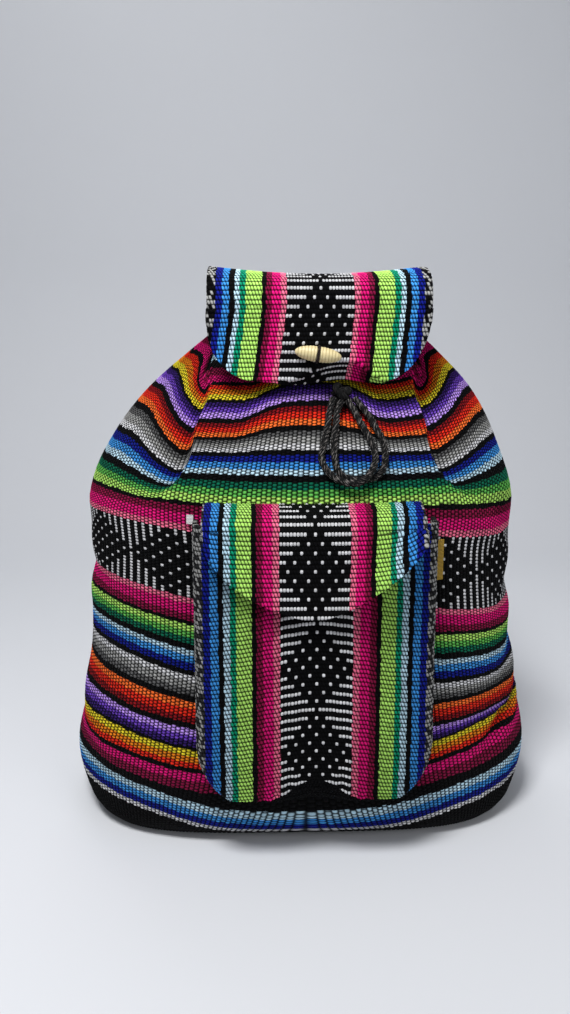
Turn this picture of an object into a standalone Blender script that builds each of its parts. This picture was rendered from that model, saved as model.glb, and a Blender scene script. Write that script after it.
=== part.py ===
"""Woven drawstring backpack with a lid flap, a toggle and a front pocket. Metres, +Z up, front at -Y."""

import math

import bmesh
import bpy
from mathutils import Matrix, Vector

# Cloth and clearances
CLOTH = 0.003
POCKET_CLOTH = 0.0025
RIB = 0.0005
GAP = 0.0003

# Body: a tube of cloth gathered at the neck; heights are shares of the rim's height
BODY_WIDTH = 0.347
BODY_FRONT = 0.106
BODY_BACK = 0.072
RIM_HEIGHT = 0.382
BODY_COLUMNS = 120
LINING_COLUMNS = 40
FOOT_TOP = 0.080 * RIM_HEIGHT
PLEATS = 10
PLEAT_DEPTH = 0.006
PLEAT_START = 0.817 * RIM_HEIGHT
CREASE_DEPTH = 0.010
CREASE_SPREAD = 0.13
CREASE_LOW_X = 0.108
CREASE_HIGH_X = 0.072
CREASE_RUN = 0.047 * RIM_HEIGHT
CREASE_LOW_Z = 0.623 * RIM_HEIGHT
CREASE_FULL_Z = 0.741 * RIM_HEIGHT
CREASE_FADE_Z = 0.877 * RIM_HEIGHT
NECK_LEAN = 0.009
DRAWSTRING_Z = 0.942 * RIM_HEIGHT

# Shares of rim height, half width, front depth and back depth, then the squareness of the section
BODY_STATIONS = (
    (0.000, 0.865, 0.850, 0.917, 4.0),
    (0.032, 0.940, 0.925, 0.972, 3.2),
    (0.120, 1.000, 0.980, 1.000, 2.6),
    (0.235, 0.962, 1.000, 1.000, 2.4),
    (0.380, 0.911, 0.972, 1.000, 2.3),
    (0.525, 0.890, 0.953, 1.000, 2.3),
    (0.630, 0.893, 0.906, 1.000, 2.4),
    (0.727, 0.800, 0.783, 1.000, 2.4),
    (0.810, 0.678, 0.566, 1.000, 2.4),
    (0.890, 0.512, 0.340, 0.975, 2.3),
    (0.942, 0.438, 0.215, 0.890, 2.2),
    (1.000, 0.463, 0.250, 0.890, 2.2),
)

# Base panel
BASE_THICKNESS = 0.003

# Lid flap
FLAP_WIDTH = 0.146
FLAP_FRONT_Y = -0.064
FLAP_BOTTOM = 0.8325 * RIM_HEIGHT
FLAP_SPRING = 0.958 * RIM_HEIGHT
FLAP_TOP = 1.034 * RIM_HEIGHT
FLAP_SEAM = 0.8665 * RIM_HEIGHT
FLAP_CORNER_WIDTH = 0.020
FLAP_CORNER_HEIGHT = 0.028
FLAP_DROOP = 0.007
FLAP_SAG = 0.0050
FLAP_LIFT = 0.009
FLAP_LIFT_WIDTH = 0.012
FLAP_ACROSS = 11
FLAP_FRONT_ROWS = 8
FLAP_HOLE_ROW = 3
FLAP_BACK_ROWS = 3
FLAP_ALONG = 25
FLAP_ROW_FOLLOW = 0.65
FLAP_ARCH_POWERS = (0.6, 0.62)
BUTTONHOLE_WIDTH = 0.012
BUTTONHOLE_HEIGHT = 0.008

# Toggle and its loop
TOGGLE_LENGTH = 0.030
TOGGLE_RADIUS = 0.0050
TOGGLE_GROOVE = 0.0024
TOGGLE_X = 0.0075
TOGGLE_Z = 0.882 * RIM_HEIGHT
TOGGLE_STAND = 0.0006
NECK_DEPTH = 0.0011
TOGGLE_TILT = math.radians(8)
LOOP_RADIUS = 0.0009
LOOP_REACH = 0.003

# Pocket and its flap
POCKET_X = 0.005
POCKET_WIDTH = 0.156
POCKET_BOTTOM = 0.118 * RIM_HEIGHT
POCKET_TOP = 0.611 * RIM_HEIGHT
POCKET_DEPTH = 0.018
POCKET_SQUARENESS = 7
POCKET_FOOT = 0.25
POCKET_ACROSS = 12
POCKET_ALONG = 22
POCKET_CORNER_WIDTH = 0.034
POCKET_CORNER_HEIGHT = 0.042
POCKET_ROUND = 0.005
POCKET_ARCH = 0.015
POCKET_ARCH_WIDTH = 0.020
POCKET_FLAP_INSET = 0.002
POCKET_FLAP_SEAM = 0.636 * RIM_HEIGHT
POCKET_FLAP_DROP = 0.013
POCKET_FLAP_TIP = 0.466 * RIM_HEIGHT
POCKET_FLAP_BEND = 0.3
POCKET_FLAP_STAND = 0.0006
POCKET_FLAP_EDGE = 0.002

# Drawstring
CORD_RADIUS = 0.0020
KNOT_X = 0.024
BOW_X = 0.005
KNOT_BELOW_FLAP = 0.0068
KNOT_RADIUS = 0.0050

# Shoulder straps and hang loop on the back
STRAP_WIDTH = 0.034
STRAP_THICKNESS = 0.005
STRAP_TOP_X = 0.034
STRAP_TOP_Z = 0.851 * RIM_HEIGHT
STRAP_FOOT_X = 0.098
STRAP_FOOT_Z = 0.026
STRAP_BOW = 0.024
STRAP_RINGS = 19
HANG_LOOP_WIDTH = 0.020
HANG_LOOP_HEIGHT = 0.046
HANG_LOOP_LEAN = 0.008
HANG_LOOP_FOOT = 0.002

# Bare tags
SIDE_TAG_WIDTH = 0.007
SIDE_TAG_HEIGHT = 0.027
SIDE_TAG_Z = 0.535 * RIM_HEIGHT
WHITE_TAG_WIDTH = 0.0045
WHITE_TAG_HEIGHT = 0.006
WHITE_TAG_Z = 0.610 * RIM_HEIGHT
TAG_THICKNESS = 0.0008


def material(name, colour, roughness):
    """A plain Principled material."""
    made = bpy.data.materials.new(name)
    made.use_nodes = True
    shader = made.node_tree.nodes["Principled BSDF"]
    shader.inputs["Base Color"].default_value = (*colour, 1.0)
    shader.inputs["Roughness"].default_value = roughness
    shader.inputs["Metallic"].default_value = 0.0
    made.diffuse_color = (*colour, 1.0)
    return made


def add_object(name, data, colour, roughness=0.9):
    """Link a mesh or curve as a named object with its own material."""
    thing = bpy.data.objects.new(name, data)
    bpy.context.collection.objects.link(thing)
    data.materials.append(material(name + "_finish", colour, roughness))
    return thing


def add_mesh(name, mesh_builder, colour, roughness=0.9, smooth_angle=40):
    """Turn a bmesh into a shaded object with its faces pointing out."""
    bmesh.ops.recalc_face_normals(mesh_builder, faces=mesh_builder.faces)
    mesh = bpy.data.meshes.new(name)
    mesh_builder.to_mesh(mesh)
    mesh_builder.free()
    mesh.shade_smooth()
    mesh.set_sharp_from_angle(angle=math.radians(smooth_angle))
    return add_object(name, mesh, colour, roughness)


def smooth_step(value, low, high):
    """0 below low, 1 above high, smooth between."""
    share = min(max((value - low) / (high - low), 0.0), 1.0)
    return share * share * (3 - 2 * share)


def signed_power(value, power):
    """The power of a number's size, with its sign kept."""
    return math.copysign(abs(value) ** power, value)


def body_section(height):
    """Half width, front depth, back depth and squareness of the body at a height."""
    share = min(max(height / RIM_HEIGHT, 0.0), 1.0)
    last = len(BODY_STATIONS) - 1
    i = 0
    while i < last - 1 and share > BODY_STATIONS[i + 1][0]:
        i += 1
    low, high = BODY_STATIONS[i], BODY_STATIONS[i + 1]
    before, after = BODY_STATIONS[max(i - 1, 0)], BODY_STATIONS[min(i + 2, last)]
    span = high[0] - low[0]
    t = (share - low[0]) / span
    values = []
    for k in range(1, 5):
        slope_low = (high[k] - before[k]) / (high[0] - before[0]) * span
        slope_high = (after[k] - low[k]) / (after[0] - low[0]) * span
        values.append((2 * t**3 - 3 * t**2 + 1) * low[k] + (t**3 - 2 * t**2 + t) * slope_low
                      + (3 * t**2 - 2 * t**3) * high[k] + (t**3 - t**2) * slope_high)
    half, front, back, power = values
    return half * BODY_WIDTH / 2, front * BODY_FRONT, back * BODY_BACK, power


def body_lean(height):
    """The neck leans a little to one side."""
    return NECK_LEAN * smooth_step(height, CREASE_LOW_Z, DRAWSTRING_Z)


def pleat_inset(angle, height):
    """How far the gathers of the neck fall in; the crests stay out."""
    gather = smooth_step(height, PLEAT_START, DRAWSTRING_Z)
    return PLEAT_DEPTH * gather * (0.5 - 0.5 * math.cos(PLEATS * angle))


def crease_inset(angle, height):
    """The two front folds that run from the neck down to the shoulders."""
    half, _, _, power = body_section(height)
    rise = smooth_step(height, CREASE_LOW_Z, CREASE_FULL_Z)
    rise *= 1 - smooth_step(height, CREASE_FADE_Z, DRAWSTRING_Z)
    spread = math.exp(-max(height - CREASE_LOW_Z, 0.0) / CREASE_RUN)
    crease_x = CREASE_HIGH_X + (CREASE_LOW_X - CREASE_HIGH_X) * spread
    centre = math.asin(min(crease_x / half, 0.97) ** (power / 2))
    off = (abs(angle) - centre) / CREASE_SPREAD
    return CREASE_DEPTH * rise * math.exp(-off * off)


def body_point(angle, height, inset=0.0, folds=True):
    """A point of the body's cloth; angle 0 is the front, and inset moves it in."""
    half, front, back, power = body_section(height)
    sine, cosine = math.sin(angle), math.cos(angle)
    depth = front if cosine > 0 else back
    x = half * signed_power(sine, 2 / power)
    y = -depth * signed_power(cosine, 2 / power)
    normal = Vector((signed_power(sine, 2 - 2 / power) / half, -signed_power(cosine, 2 - 2 / power) / depth))
    normal.normalize()
    move = -inset
    if folds:
        move -= pleat_inset(angle, height) + crease_inset(angle, height)
    return Vector((x + normal.x * move + body_lean(height), y + normal.y * move, height))


def body_front(x, height):
    """Y of the body's front at a place seen from the front."""
    half, front, _, power = body_section(height)
    share = min(abs(x - body_lean(height)) / half, 1.0)
    return -front * (1 - share**power) ** (1 / power)


def body_back(x, height):
    """Y of the body's back at a place seen from behind."""
    half, _, back, power = body_section(height)
    share = min(abs(x - body_lean(height)) / half, 1.0)
    return back * (1 - share**power) ** (1 / power)


def smooth_path(route, count):
    """Evenly spread points on one smooth curve through the route's own points."""
    route = [Vector(point) for point in route]
    fine = []
    steps = 24
    for i in range(len(route) - 1):
        before = route[i - 1] if i else route[0] * 2 - route[1]
        after = route[i + 2] if i + 2 < len(route) else route[-1] * 2 - route[-2]
        for step in range(steps):
            t = step / steps
            fine.append(0.5 * (2 * route[i] + (route[i + 1] - before) * t
                               + (2 * before - 5 * route[i] + 4 * route[i + 1] - after) * t * t
                               + (3 * route[i] - before - 3 * route[i + 1] + after) * t**3))
    fine.append(route[-1])
    lengths = [0.0]
    for a, b in zip(fine, fine[1:]):
        lengths.append(lengths[-1] + (b - a).length)
    points, at = [], 0
    for i in range(count):
        wanted = lengths[-1] * i / (count - 1)
        while at < len(fine) - 2 and lengths[at + 1] < wanted:
            at += 1
        share = (wanted - lengths[at]) / max(lengths[at + 1] - lengths[at], 1e-9)
        points.append(fine[at].lerp(fine[at + 1], share))
    return points


def cord(name, points, radius, colour, cyclic=False, sides=2):
    """A round cord: a curve with a bevel and filled caps."""
    curve = bpy.data.curves.new(name, "CURVE")
    curve.dimensions = "3D"
    curve.bevel_depth = radius
    curve.bevel_resolution = sides
    curve.render_resolution_u = 0
    curve.use_fill_caps = not cyclic
    spline = curve.splines.new("POLY")
    spline.points.add(len(points) - 1)
    for target, point in zip(spline.points, points):
        target.co = (*point, 1.0)
    spline.use_cyclic_u = cyclic
    return add_object(name, curve, colour)


def sheet(name, point, across, along, thickness, colour, ribs=False, hole=None):
    """A sheet of cloth with thickness about the surface point(u, v), both from 0 to 1."""
    small = 1e-4
    sides = ([], [])
    for j in range(along + 1):
        for i in range(across + 1):
            u, v = i / across, j / along
            middle = point(u, v)
            du = point(min(u + small, 1), v) - point(max(u - small, 0), v)
            dv = point(u, min(v + small, 1)) - point(u, max(v - small, 0))
            normal = du.cross(dv).normalized()
            raised = RIB if ribs and j % 2 and 0 < j < along else 0.0
            sides[0].append(middle + normal * (thickness / 2 + raised))
            sides[1].append(middle - normal * thickness / 2)
    builder = bmesh.new()
    front, back = ([builder.verts.new(place) for place in side] for side in sides)

    def quads(verts):
        for j in range(along):
            for i in range(across):
                if hole and hole == (i, j):
                    continue
                corner = j * (across + 1) + i
                builder.faces.new((verts[corner], verts[corner + 1],
                                   verts[corner + across + 2], verts[corner + across + 1]))

    def wall(loop):
        for a, b in zip(loop, loop[1:] + loop[:1]):
            builder.faces.new((front[a], front[b], back[b], back[a]))

    quads(front)
    quads(back)
    row = across + 1
    rim = list(range(across)) + [j * row + across for j in range(along)]
    rim += [along * row + i for i in range(across, 0, -1)] + [j * row for j in range(along, 0, -1)]
    wall(rim)
    if hole:
        corner = hole[1] * row + hole[0]
        wall([corner, corner + 1, corner + row + 1, corner + row])
    return add_mesh(name, builder, colour)


def make_body():
    """The tube of woven cloth: ribbed outside, plain inside, open at both ends."""
    builder = bmesh.new()

    def ring(columns, height, inset, ribbed):
        made = []
        for i in range(columns):
            angle = 2 * math.pi * i / columns
            angle = angle - 2 * math.pi if angle > math.pi else angle
            rib = RIB if ribbed and i % 2 else 0.0
            made.append(builder.verts.new(body_point(angle, height, inset - rib)))
        return made

    def bridge(low, high):
        count = len(low)
        for i in range(count):
            j = (i + 1) % count
            builder.faces.new((low[i], low[j], high[j], high[i]))

    def close_edge(outer, inner):
        ratio = len(outer) // len(inner)
        for i in range(len(inner)):
            following = inner[(i + 1) % len(inner)]
            fan = [outer[(i * ratio + k) % len(outer)] for k in range(ratio + 1)]
            half = ratio // 2
            for k in range(ratio):
                builder.faces.new((fan[k], fan[k + 1], inner[i] if k <= half else following))
            builder.faces.new((fan[half + 1], following, inner[i]))

    heights = row_heights()
    outer = [ring(BODY_COLUMNS, height, 0.0, 0 < height < RIM_HEIGHT) for height in heights]
    inner = [ring(LINING_COLUMNS, height, CLOTH, False) for height in heights[:-1:2] + heights[-1:]]
    for low, high in zip(outer, outer[1:]):
        bridge(low, high)
    for low, high in zip(inner, inner[1:]):
        bridge(high, low)
    close_edge(outer[0], inner[0])
    close_edge(outer[-1], inner[-1])
    return add_mesh("body", builder, (0.35, 0.12, 0.25))


def row_heights():
    """Rows lie closer at the rounded foot, the shoulders and the neck."""
    marks = ((0.0, 3), (FOOT_TOP, 6), (CREASE_LOW_Z, 5), (FLAP_SEAM, 3), (DRAWSTRING_Z, 2), (RIM_HEIGHT, 0))
    heights = []
    for (low, rows), (high, _) in zip(marks, marks[1:]):
        heights += [low + (high - low) * i / rows for i in range(rows)]
    return heights + [RIM_HEIGHT]


def make_base():
    """The flat bottom panel, sewn inside the foot of the body."""
    builder = bmesh.new()
    loops = []
    for height, inset in ((0.0, CLOTH + GAP), (BASE_THICKNESS, CLOTH + GAP)):
        points = []
        for i in range(LINING_COLUMNS):
            place = body_point(math.pi * (1 - 2 * i / LINING_COLUMNS), 0.0, inset)
            points.append(builder.verts.new((place.x, place.y, height)))
        loops.append(points)
    for i in range(LINING_COLUMNS):
        j = (i + 1) % LINING_COLUMNS
        builder.faces.new((loops[0][i], loops[0][j], loops[1][j], loops[1][i]))
    builder.faces.new(loops[0])
    builder.faces.new(loops[1])
    return add_mesh("base_panel", builder, (0.02, 0.02, 0.025))


def flap_back_y():
    """Y of the middle of the flap's cloth where it is sewn to the back."""
    return body_back(body_lean(FLAP_SEAM), FLAP_SEAM) + RIB + GAP + CLOTH / 2


def flap_rise(x):
    """How far the flap's lower edge rises to its sides and round corners."""
    half = FLAP_WIDTH / 2
    over = max(abs(x) - (half - FLAP_CORNER_WIDTH), 0.0) / FLAP_CORNER_WIDTH
    corner = FLAP_CORNER_HEIGHT * (1 - math.sqrt(max(1 - over**2, 0.0)))
    return FLAP_DROOP * (abs(x) / half) ** 3 + corner


def flap_lift(x):
    """How far the flap's lower edge rides up over the knot."""
    return FLAP_LIFT * math.exp(-((x + NECK_LEAN - KNOT_X) / FLAP_LIFT_WIDTH) ** 2)


def flap_x(u):
    """Across the flap; the middle column is as wide as the buttonhole, behind the toggle."""
    column = (u - 0.5) * FLAP_ACROSS
    middle = TOGGLE_X - NECK_LEAN
    if abs(column) <= 0.5:
        return middle + column * BUTTONHOLE_WIDTH
    side = math.copysign(1.0, column)
    beside = (FLAP_WIDTH / 2 - side * middle - BUTTONHOLE_WIDTH / 2) / ((FLAP_ACROSS - 1) / 2)
    return middle + side * (BUTTONHOLE_WIDTH / 2 + (abs(column) - 0.5) * beside)


def flap_front_height(x, row):
    """Height of a row of the flap's hanging front; one row is as high as the buttonhole."""
    low = FLAP_BOTTOM + flap_rise(x) + flap_lift(x)
    lift = FLAP_ROW_FOLLOW * flap_rise(x)
    hole_low = TOGGLE_Z - BUTTONHOLE_HEIGHT / 2 + lift
    hole_high = TOGGLE_Z + BUTTONHOLE_HEIGHT / 2 + lift
    if row <= FLAP_HOLE_ROW:
        return low + (hole_low - low) * row / FLAP_HOLE_ROW
    if row <= FLAP_HOLE_ROW + 1:
        return hole_low + (hole_high - hole_low) * (row - FLAP_HOLE_ROW)
    above = FLAP_FRONT_ROWS - FLAP_HOLE_ROW - 1
    return hole_high + (FLAP_SPRING - hole_high) * (row - FLAP_HOLE_ROW - 1) / above


def flap_point(u, v):
    """The lid: down the front, over the mouth and down to its seam on the back."""
    x = flap_x(u)
    front_part, arch_part = FLAP_FRONT_ROWS / FLAP_ALONG, 1 - FLAP_BACK_ROWS / FLAP_ALONG
    back = flap_back_y()
    if v <= front_part:
        return Vector((x + NECK_LEAN, FLAP_FRONT_Y, flap_front_height(x, v * FLAP_ALONG)))
    if v <= arch_part:
        turn = math.pi * (v - front_part) / (arch_part - front_part)
        reach = (back - FLAP_FRONT_Y) / 2
        sag = FLAP_SAG * math.cos(math.pi / 2 * x / (FLAP_WIDTH / 2)) * math.sin(turn) ** 2
        y = FLAP_FRONT_Y + reach - reach * signed_power(math.cos(turn), FLAP_ARCH_POWERS[0])
        z = FLAP_SPRING + (FLAP_TOP - CLOTH / 2 - FLAP_SPRING) * math.sin(turn) ** FLAP_ARCH_POWERS[1] - sag
        return Vector((x + NECK_LEAN, y, z))
    down = (v - arch_part) / (1 - arch_part)
    return Vector((x + NECK_LEAN, back, FLAP_SPRING - (FLAP_SPRING - FLAP_SEAM) * down))


def make_flap():
    """The lid flap with its buttonhole below the toggle."""
    return sheet("flap", flap_point, FLAP_ACROSS, FLAP_ALONG, CLOTH, (0.05, 0.3, 0.6),
                 ribs=True, hole=(FLAP_ACROSS // 2, FLAP_HOLE_ROW))


def pocket_surface(u, v, wall):
    """The pocket's shell, wall deep inside its outer face; u runs across and v from foot to top."""
    side = math.sin(math.pi * (u - 0.5))
    arch = POCKET_ARCH * math.exp(-(side * POCKET_WIDTH / 2 / POCKET_ARCH_WIDTH) ** 2)
    start = POCKET_BOTTOM + wall
    front_foot = start + POCKET_ROUND + arch
    if v < POCKET_FOOT:
        rise = math.pi / 2 * v / POCKET_FOOT
        height = start + (front_foot - start) * (1 - math.cos(rise))
        swell = math.sin(rise) ** 0.8
    else:
        height = front_foot + (POCKET_TOP - front_foot) * (v - POCKET_FOOT) / (1 - POCKET_FOOT)
        swell = 1.0
    half = POCKET_WIDTH / 2 - wall
    low = min(max((height - start) / POCKET_CORNER_HEIGHT, 0.0), 1.0)
    half -= POCKET_CORNER_WIDTH * (1 - math.sqrt(1 - (1 - low) ** 2))
    x = POCKET_X + half * side
    boxed = max(1 - abs(side) ** POCKET_SQUARENESS, 0.0) ** (1 / POCKET_SQUARENESS)
    out = (POCKET_DEPTH - wall) * swell * boxed
    return Vector((x, body_front(x, height) - RIB - GAP - out, height))


def make_pocket():
    """The front pocket: a boxed shell sewn to the body and open at the top."""
    across, along = POCKET_ACROSS, POCKET_ALONG
    builder = bmesh.new()
    grids = []
    for wall in (0.0, POCKET_CLOTH):
        rows = []
        for j in range(along + 1):
            row = []
            for i in range(across + 1):
                place = pocket_surface(i / across, j / along, wall)
                if wall == 0.0 and j % 2 and 6 < j < along and 2 < i < across - 2:
                    place.y -= RIB
                row.append(builder.verts.new(place))
            rows.append(row)
        grids.append(rows)
    outer, inner = grids
    for grid in grids:
        for j in range(along):
            for i in range(across):
                builder.faces.new((grid[j][i], grid[j][i + 1], grid[j + 1][i + 1], grid[j + 1][i]))
    for j in range(along):
        for i in (0, across):
            builder.faces.new((outer[j][i], outer[j + 1][i], inner[j + 1][i], inner[j][i]))
    for i in range(across):
        for j in (0, along):
            builder.faces.new((outer[j][i], outer[j][i + 1], inner[j][i + 1], inner[j][i]))
    return add_mesh("pocket", builder, (0.1, 0.35, 0.7))


def pocket_flap_point(u, v):
    """The pocket's flap: out from its seam over the pocket's top, then down to a rounded tip."""
    across = (POCKET_WIDTH - 2 * POCKET_FLAP_INSET) * (u - 0.5)
    share = abs(across) / (POCKET_WIDTH / 2 + POCKET_CLOTH)
    full = POCKET_DEPTH + RIB + GAP + POCKET_CLOTH / 2 + POCKET_FLAP_STAND
    out = full * (1 - share**POCKET_SQUARENESS) ** (1 / POCKET_SQUARENESS)
    shoulder = POCKET_FLAP_SEAM - POCKET_FLAP_DROP
    if v < POCKET_FLAP_BEND:
        turn = math.pi / 2 * v / POCKET_FLAP_BEND
        height = POCKET_FLAP_SEAM - POCKET_FLAP_DROP * (1 - math.cos(turn))
        out *= math.sin(turn)
    else:
        round_share = math.sqrt(max(1 - (2 * u - 1) ** 2, 0.0))
        side_tip = shoulder - POCKET_FLAP_EDGE
        tip = side_tip - (side_tip - POCKET_FLAP_TIP) * round_share
        height = shoulder + (tip - shoulder) * (v - POCKET_FLAP_BEND) / (1 - POCKET_FLAP_BEND)
    start = RIB + GAP + POCKET_CLOTH / 2
    x = POCKET_X + across
    return Vector((x, body_front(x, height) - start - out, height))


def make_pocket_flap():
    """The rounded flap over the pocket's top."""
    return sheet("pocket_flap", lambda u, v: pocket_flap_point(1 - u, v), 12, 14, POCKET_CLOTH,
                 (0.6, 0.05, 0.25), ribs=True)


def toggle_centre():
    """The toggle lies just in front of the flap."""
    return Vector((TOGGLE_X, FLAP_FRONT_Y - CLOTH / 2 - RIB - TOGGLE_STAND - TOGGLE_RADIUS, TOGGLE_Z))


def make_toggle():
    """The turned spindle with a groove round its middle, its origin on the joint's axis."""
    half, groove = TOGGLE_LENGTH / 2, TOGGLE_GROOVE / 2
    profile = [(-half, 0.30 * TOGGLE_RADIUS)]
    for i in range(1, 7):
        share = i / 6
        profile.append((-half + (half - groove) * share, TOGGLE_RADIUS * math.sin(math.pi / 2 * share**0.55)))
    profile += [(-groove * 0.9, TOGGLE_RADIUS - NECK_DEPTH), (groove * 0.9, TOGGLE_RADIUS - NECK_DEPTH)]
    profile += [(-x, radius) for x, radius in reversed(profile[:7])]
    builder = bmesh.new()
    sides = 16
    rings = []
    for x, radius in profile:
        rings.append([builder.verts.new((x, radius * math.cos(2 * math.pi * k / sides),
                                         radius * math.sin(2 * math.pi * k / sides))) for k in range(sides)])
    for low, high in zip(rings, rings[1:]):
        for k in range(sides):
            builder.faces.new((low[k], low[(k + 1) % sides], high[(k + 1) % sides], high[k]))
    builder.faces.new(rings[0])
    builder.faces.new(rings[-1])
    thing = add_mesh("toggle", builder, (0.80, 0.72, 0.50), 0.5)
    thing.matrix_world = Matrix.Translation(toggle_centre()) @ Matrix.Rotation(TOGGLE_TILT, 4, "Y")
    return thing


def make_toggle_loop():
    """The thread that holds the toggle: round its groove and back through the buttonhole to the neck."""
    centre = toggle_centre()
    hold = TOGGLE_RADIUS - NECK_DEPTH + GAP + LOOP_RADIUS
    tilt = Matrix.Rotation(TOGGLE_TILT, 3, "Y")
    route = []
    anchor_y = body_front(centre.x, TOGGLE_Z) - GAP - RIB - LOOP_RADIUS
    start = Vector((0.0, anchor_y - centre.y, -LOOP_RADIUS - GAP))
    route.append(start)
    route.append(Vector((0.0, hold + LOOP_REACH, -LOOP_RADIUS - GAP)))
    for k in range(15):
        turn = math.radians(-36 - 288 * k / 14)
        route.append(Vector((0.0, hold * math.cos(turn), hold * math.sin(turn))))
    route.append(Vector((0.0, hold + LOOP_REACH, LOOP_RADIUS + GAP)))
    route.append(Vector((0.0, anchor_y - centre.y, LOOP_RADIUS + GAP)))
    points = [centre + tilt @ place for place in smooth_path(route, 34)]
    return cord("toggle_loop", points, LOOP_RADIUS, (0.03, 0.025, 0.03))


def make_drawstring():
    """The cord round the gathered neck, and the bow that ties it: a knot and two hanging loops."""
    colour = (0.03, 0.03, 0.035)
    ring = []
    for i in range(40):
        angle = 2 * math.pi * i / 40
        angle = angle - 2 * math.pi if angle > math.pi else angle
        ring.append(body_point(angle, DRAWSTRING_Z, -(CORD_RADIUS + RIB + 3 * GAP), folds=False))
    cord("neck_cord", ring, CORD_RADIUS, colour, cyclic=True)

    knot = knot_centre()
    builder = bmesh.new()
    bmesh.ops.create_uvsphere(builder, u_segments=14, v_segments=9, radius=1.0)
    for vert in builder.verts:
        swirl = 1 + 0.10 * math.sin(3 * math.atan2(vert.co.y, vert.co.x) + 4 * vert.co.z)
        vert.co = Vector((vert.co.x * KNOT_RADIUS * 1.25 * swirl, vert.co.y * KNOT_RADIUS * 0.8 * swirl,
                          vert.co.z * KNOT_RADIUS)) + knot
    add_mesh("bow_knot", builder, colour)

    # The routes: x, height below the flap's edge, and how far the cord's middle stands off the cloth
    front_loop = ((0.0130, 0.0100, 0.0062), (0.0105, 0.0195, 0.0040), (0.0085, 0.0300, 0.0034),
                  (0.0055, 0.0420, 0.0032), (0.0040, 0.0495, 0.0032), (0.0070, 0.0570, 0.0038),
                  (0.0130, 0.0625, 0.0070), (0.0210, 0.0655, 0.0078), (0.0290, 0.0645, 0.0078),
                  (0.0350, 0.0590, 0.0070), (0.0385, 0.0515, 0.0045), (0.0375, 0.0420, 0.0034),
                  (0.0330, 0.0320, 0.0034), (0.0285, 0.0230, 0.0040), (0.0250, 0.0160, 0.0055),
                  (0.0225, 0.0117, 0.0065))
    back_loop = ((0.0184, 0.0123, 0.0062), (0.0155, 0.0190, 0.0040), (0.0140, 0.0300, 0.0032),
                 (0.0125, 0.0400, 0.0032), (0.0125, 0.0490, 0.0030), (0.0140, 0.0570, 0.0026),
                 (0.0180, 0.0620, 0.0026), (0.0270, 0.0645, 0.0026), (0.0370, 0.0635, 0.0026),
                 (0.0435, 0.0580, 0.0028), (0.0455, 0.0480, 0.0032), (0.0445, 0.0395, 0.0032),
                 (0.0400, 0.0300, 0.0034), (0.0345, 0.0200, 0.0038), (0.0290, 0.0130, 0.0050),
                 (0.0274, 0.0100, 0.0060))
    for name, route in (("bow_loop_front", front_loop), ("bow_loop_back", back_loop)):
        places = []
        for x, below, stand in route:
            z = FLAP_BOTTOM - below
            places.append(Vector((x + BOW_X, body_front(x + BOW_X, z) - RIB - stand, z)))
        cord(name, smooth_path(places, 26), CORD_RADIUS, colour)


def knot_centre():
    """The knot rests on the front of the body just under the flap."""
    z = FLAP_BOTTOM - KNOT_BELOW_FLAP
    return Vector((KNOT_X, body_front(KNOT_X, z) - RIB - KNOT_RADIUS * 1.2, z))


def make_strap(name, side):
    """A padded shoulder strap sewn flat to the back at both ends, bowed out between them."""
    half = STRAP_WIDTH / 2
    route = []
    shares = (0.0, 0.06, 0.2, 0.38, 0.56, 0.74, 0.88, 0.96, 1.0)
    for share in shares:
        x = STRAP_TOP_X + (STRAP_FOOT_X - STRAP_TOP_X) * share
        z = STRAP_TOP_Z + (STRAP_FOOT_Z - STRAP_TOP_Z) * share
        flat = body_back(max(x - half, 0.0), z) + RIB + GAP + STRAP_THICKNESS / 2
        bow = STRAP_BOW * math.sin(math.pi * min(max((share - 0.05) / 0.9, 0.0), 1.0)) ** 1.3
        route.append(Vector((side * x, flat + bow, z)))
    line = smooth_path(route, STRAP_RINGS)
    builder = bmesh.new()
    rings = []
    for i, centre in enumerate(line):
        tangent = (line[min(i + 1, STRAP_RINGS - 1)] - line[max(i - 1, 0)]).normalized()
        across = Vector((1, 0, 0))
        across = (across - tangent * across.dot(tangent)).normalized()
        normal = across.cross(tangent)
        ring = []
        for k in range(10):
            turn = 2 * math.pi * (k + 0.5) / 10
            wide = half * signed_power(math.cos(turn), 0.35)
            thick = STRAP_THICKNESS / 2 * signed_power(math.sin(turn), 0.6)
            ring.append(builder.verts.new(centre + across * wide + normal * thick))
        rings.append(ring)
    for low, high in zip(rings, rings[1:]):
        for k in range(10):
            builder.faces.new((low[k], low[(k + 1) % 10], high[(k + 1) % 10], high[k]))
    builder.faces.new(rings[0])
    builder.faces.new(rings[-1])
    return add_mesh(name, builder, (0.05, 0.25, 0.3))


def make_hang_loop():
    """A short loop of cord sewn over the flap's seam on the back."""
    half = HANG_LOOP_WIDTH / 2
    y = flap_back_y() + CLOTH / 2 + RIB + GAP + CORD_RADIUS
    # Shares of half the loop's width, of its lean and of its height
    shape = ((-0.75, 0.0, 0.0), (-0.85, 0.0, 0.26), (-1.0, 0.37, 0.52), (-0.85, 0.75, 0.83), (0.0, 1.0, 1.0))
    shape += tuple((-across, lean, rise) for across, lean, rise in reversed(shape[:-1]))
    route = [(half * across, y + HANG_LOOP_LEAN * lean, FLAP_SEAM + HANG_LOOP_FOOT + HANG_LOOP_HEIGHT * rise)
             for across, lean, rise in shape]
    route = [(x + NECK_LEAN, y_place, z) for x, y_place, z in route]
    return cord("hang_loop", smooth_path(route, 19), CORD_RADIUS, (0.03, 0.03, 0.035))


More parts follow.
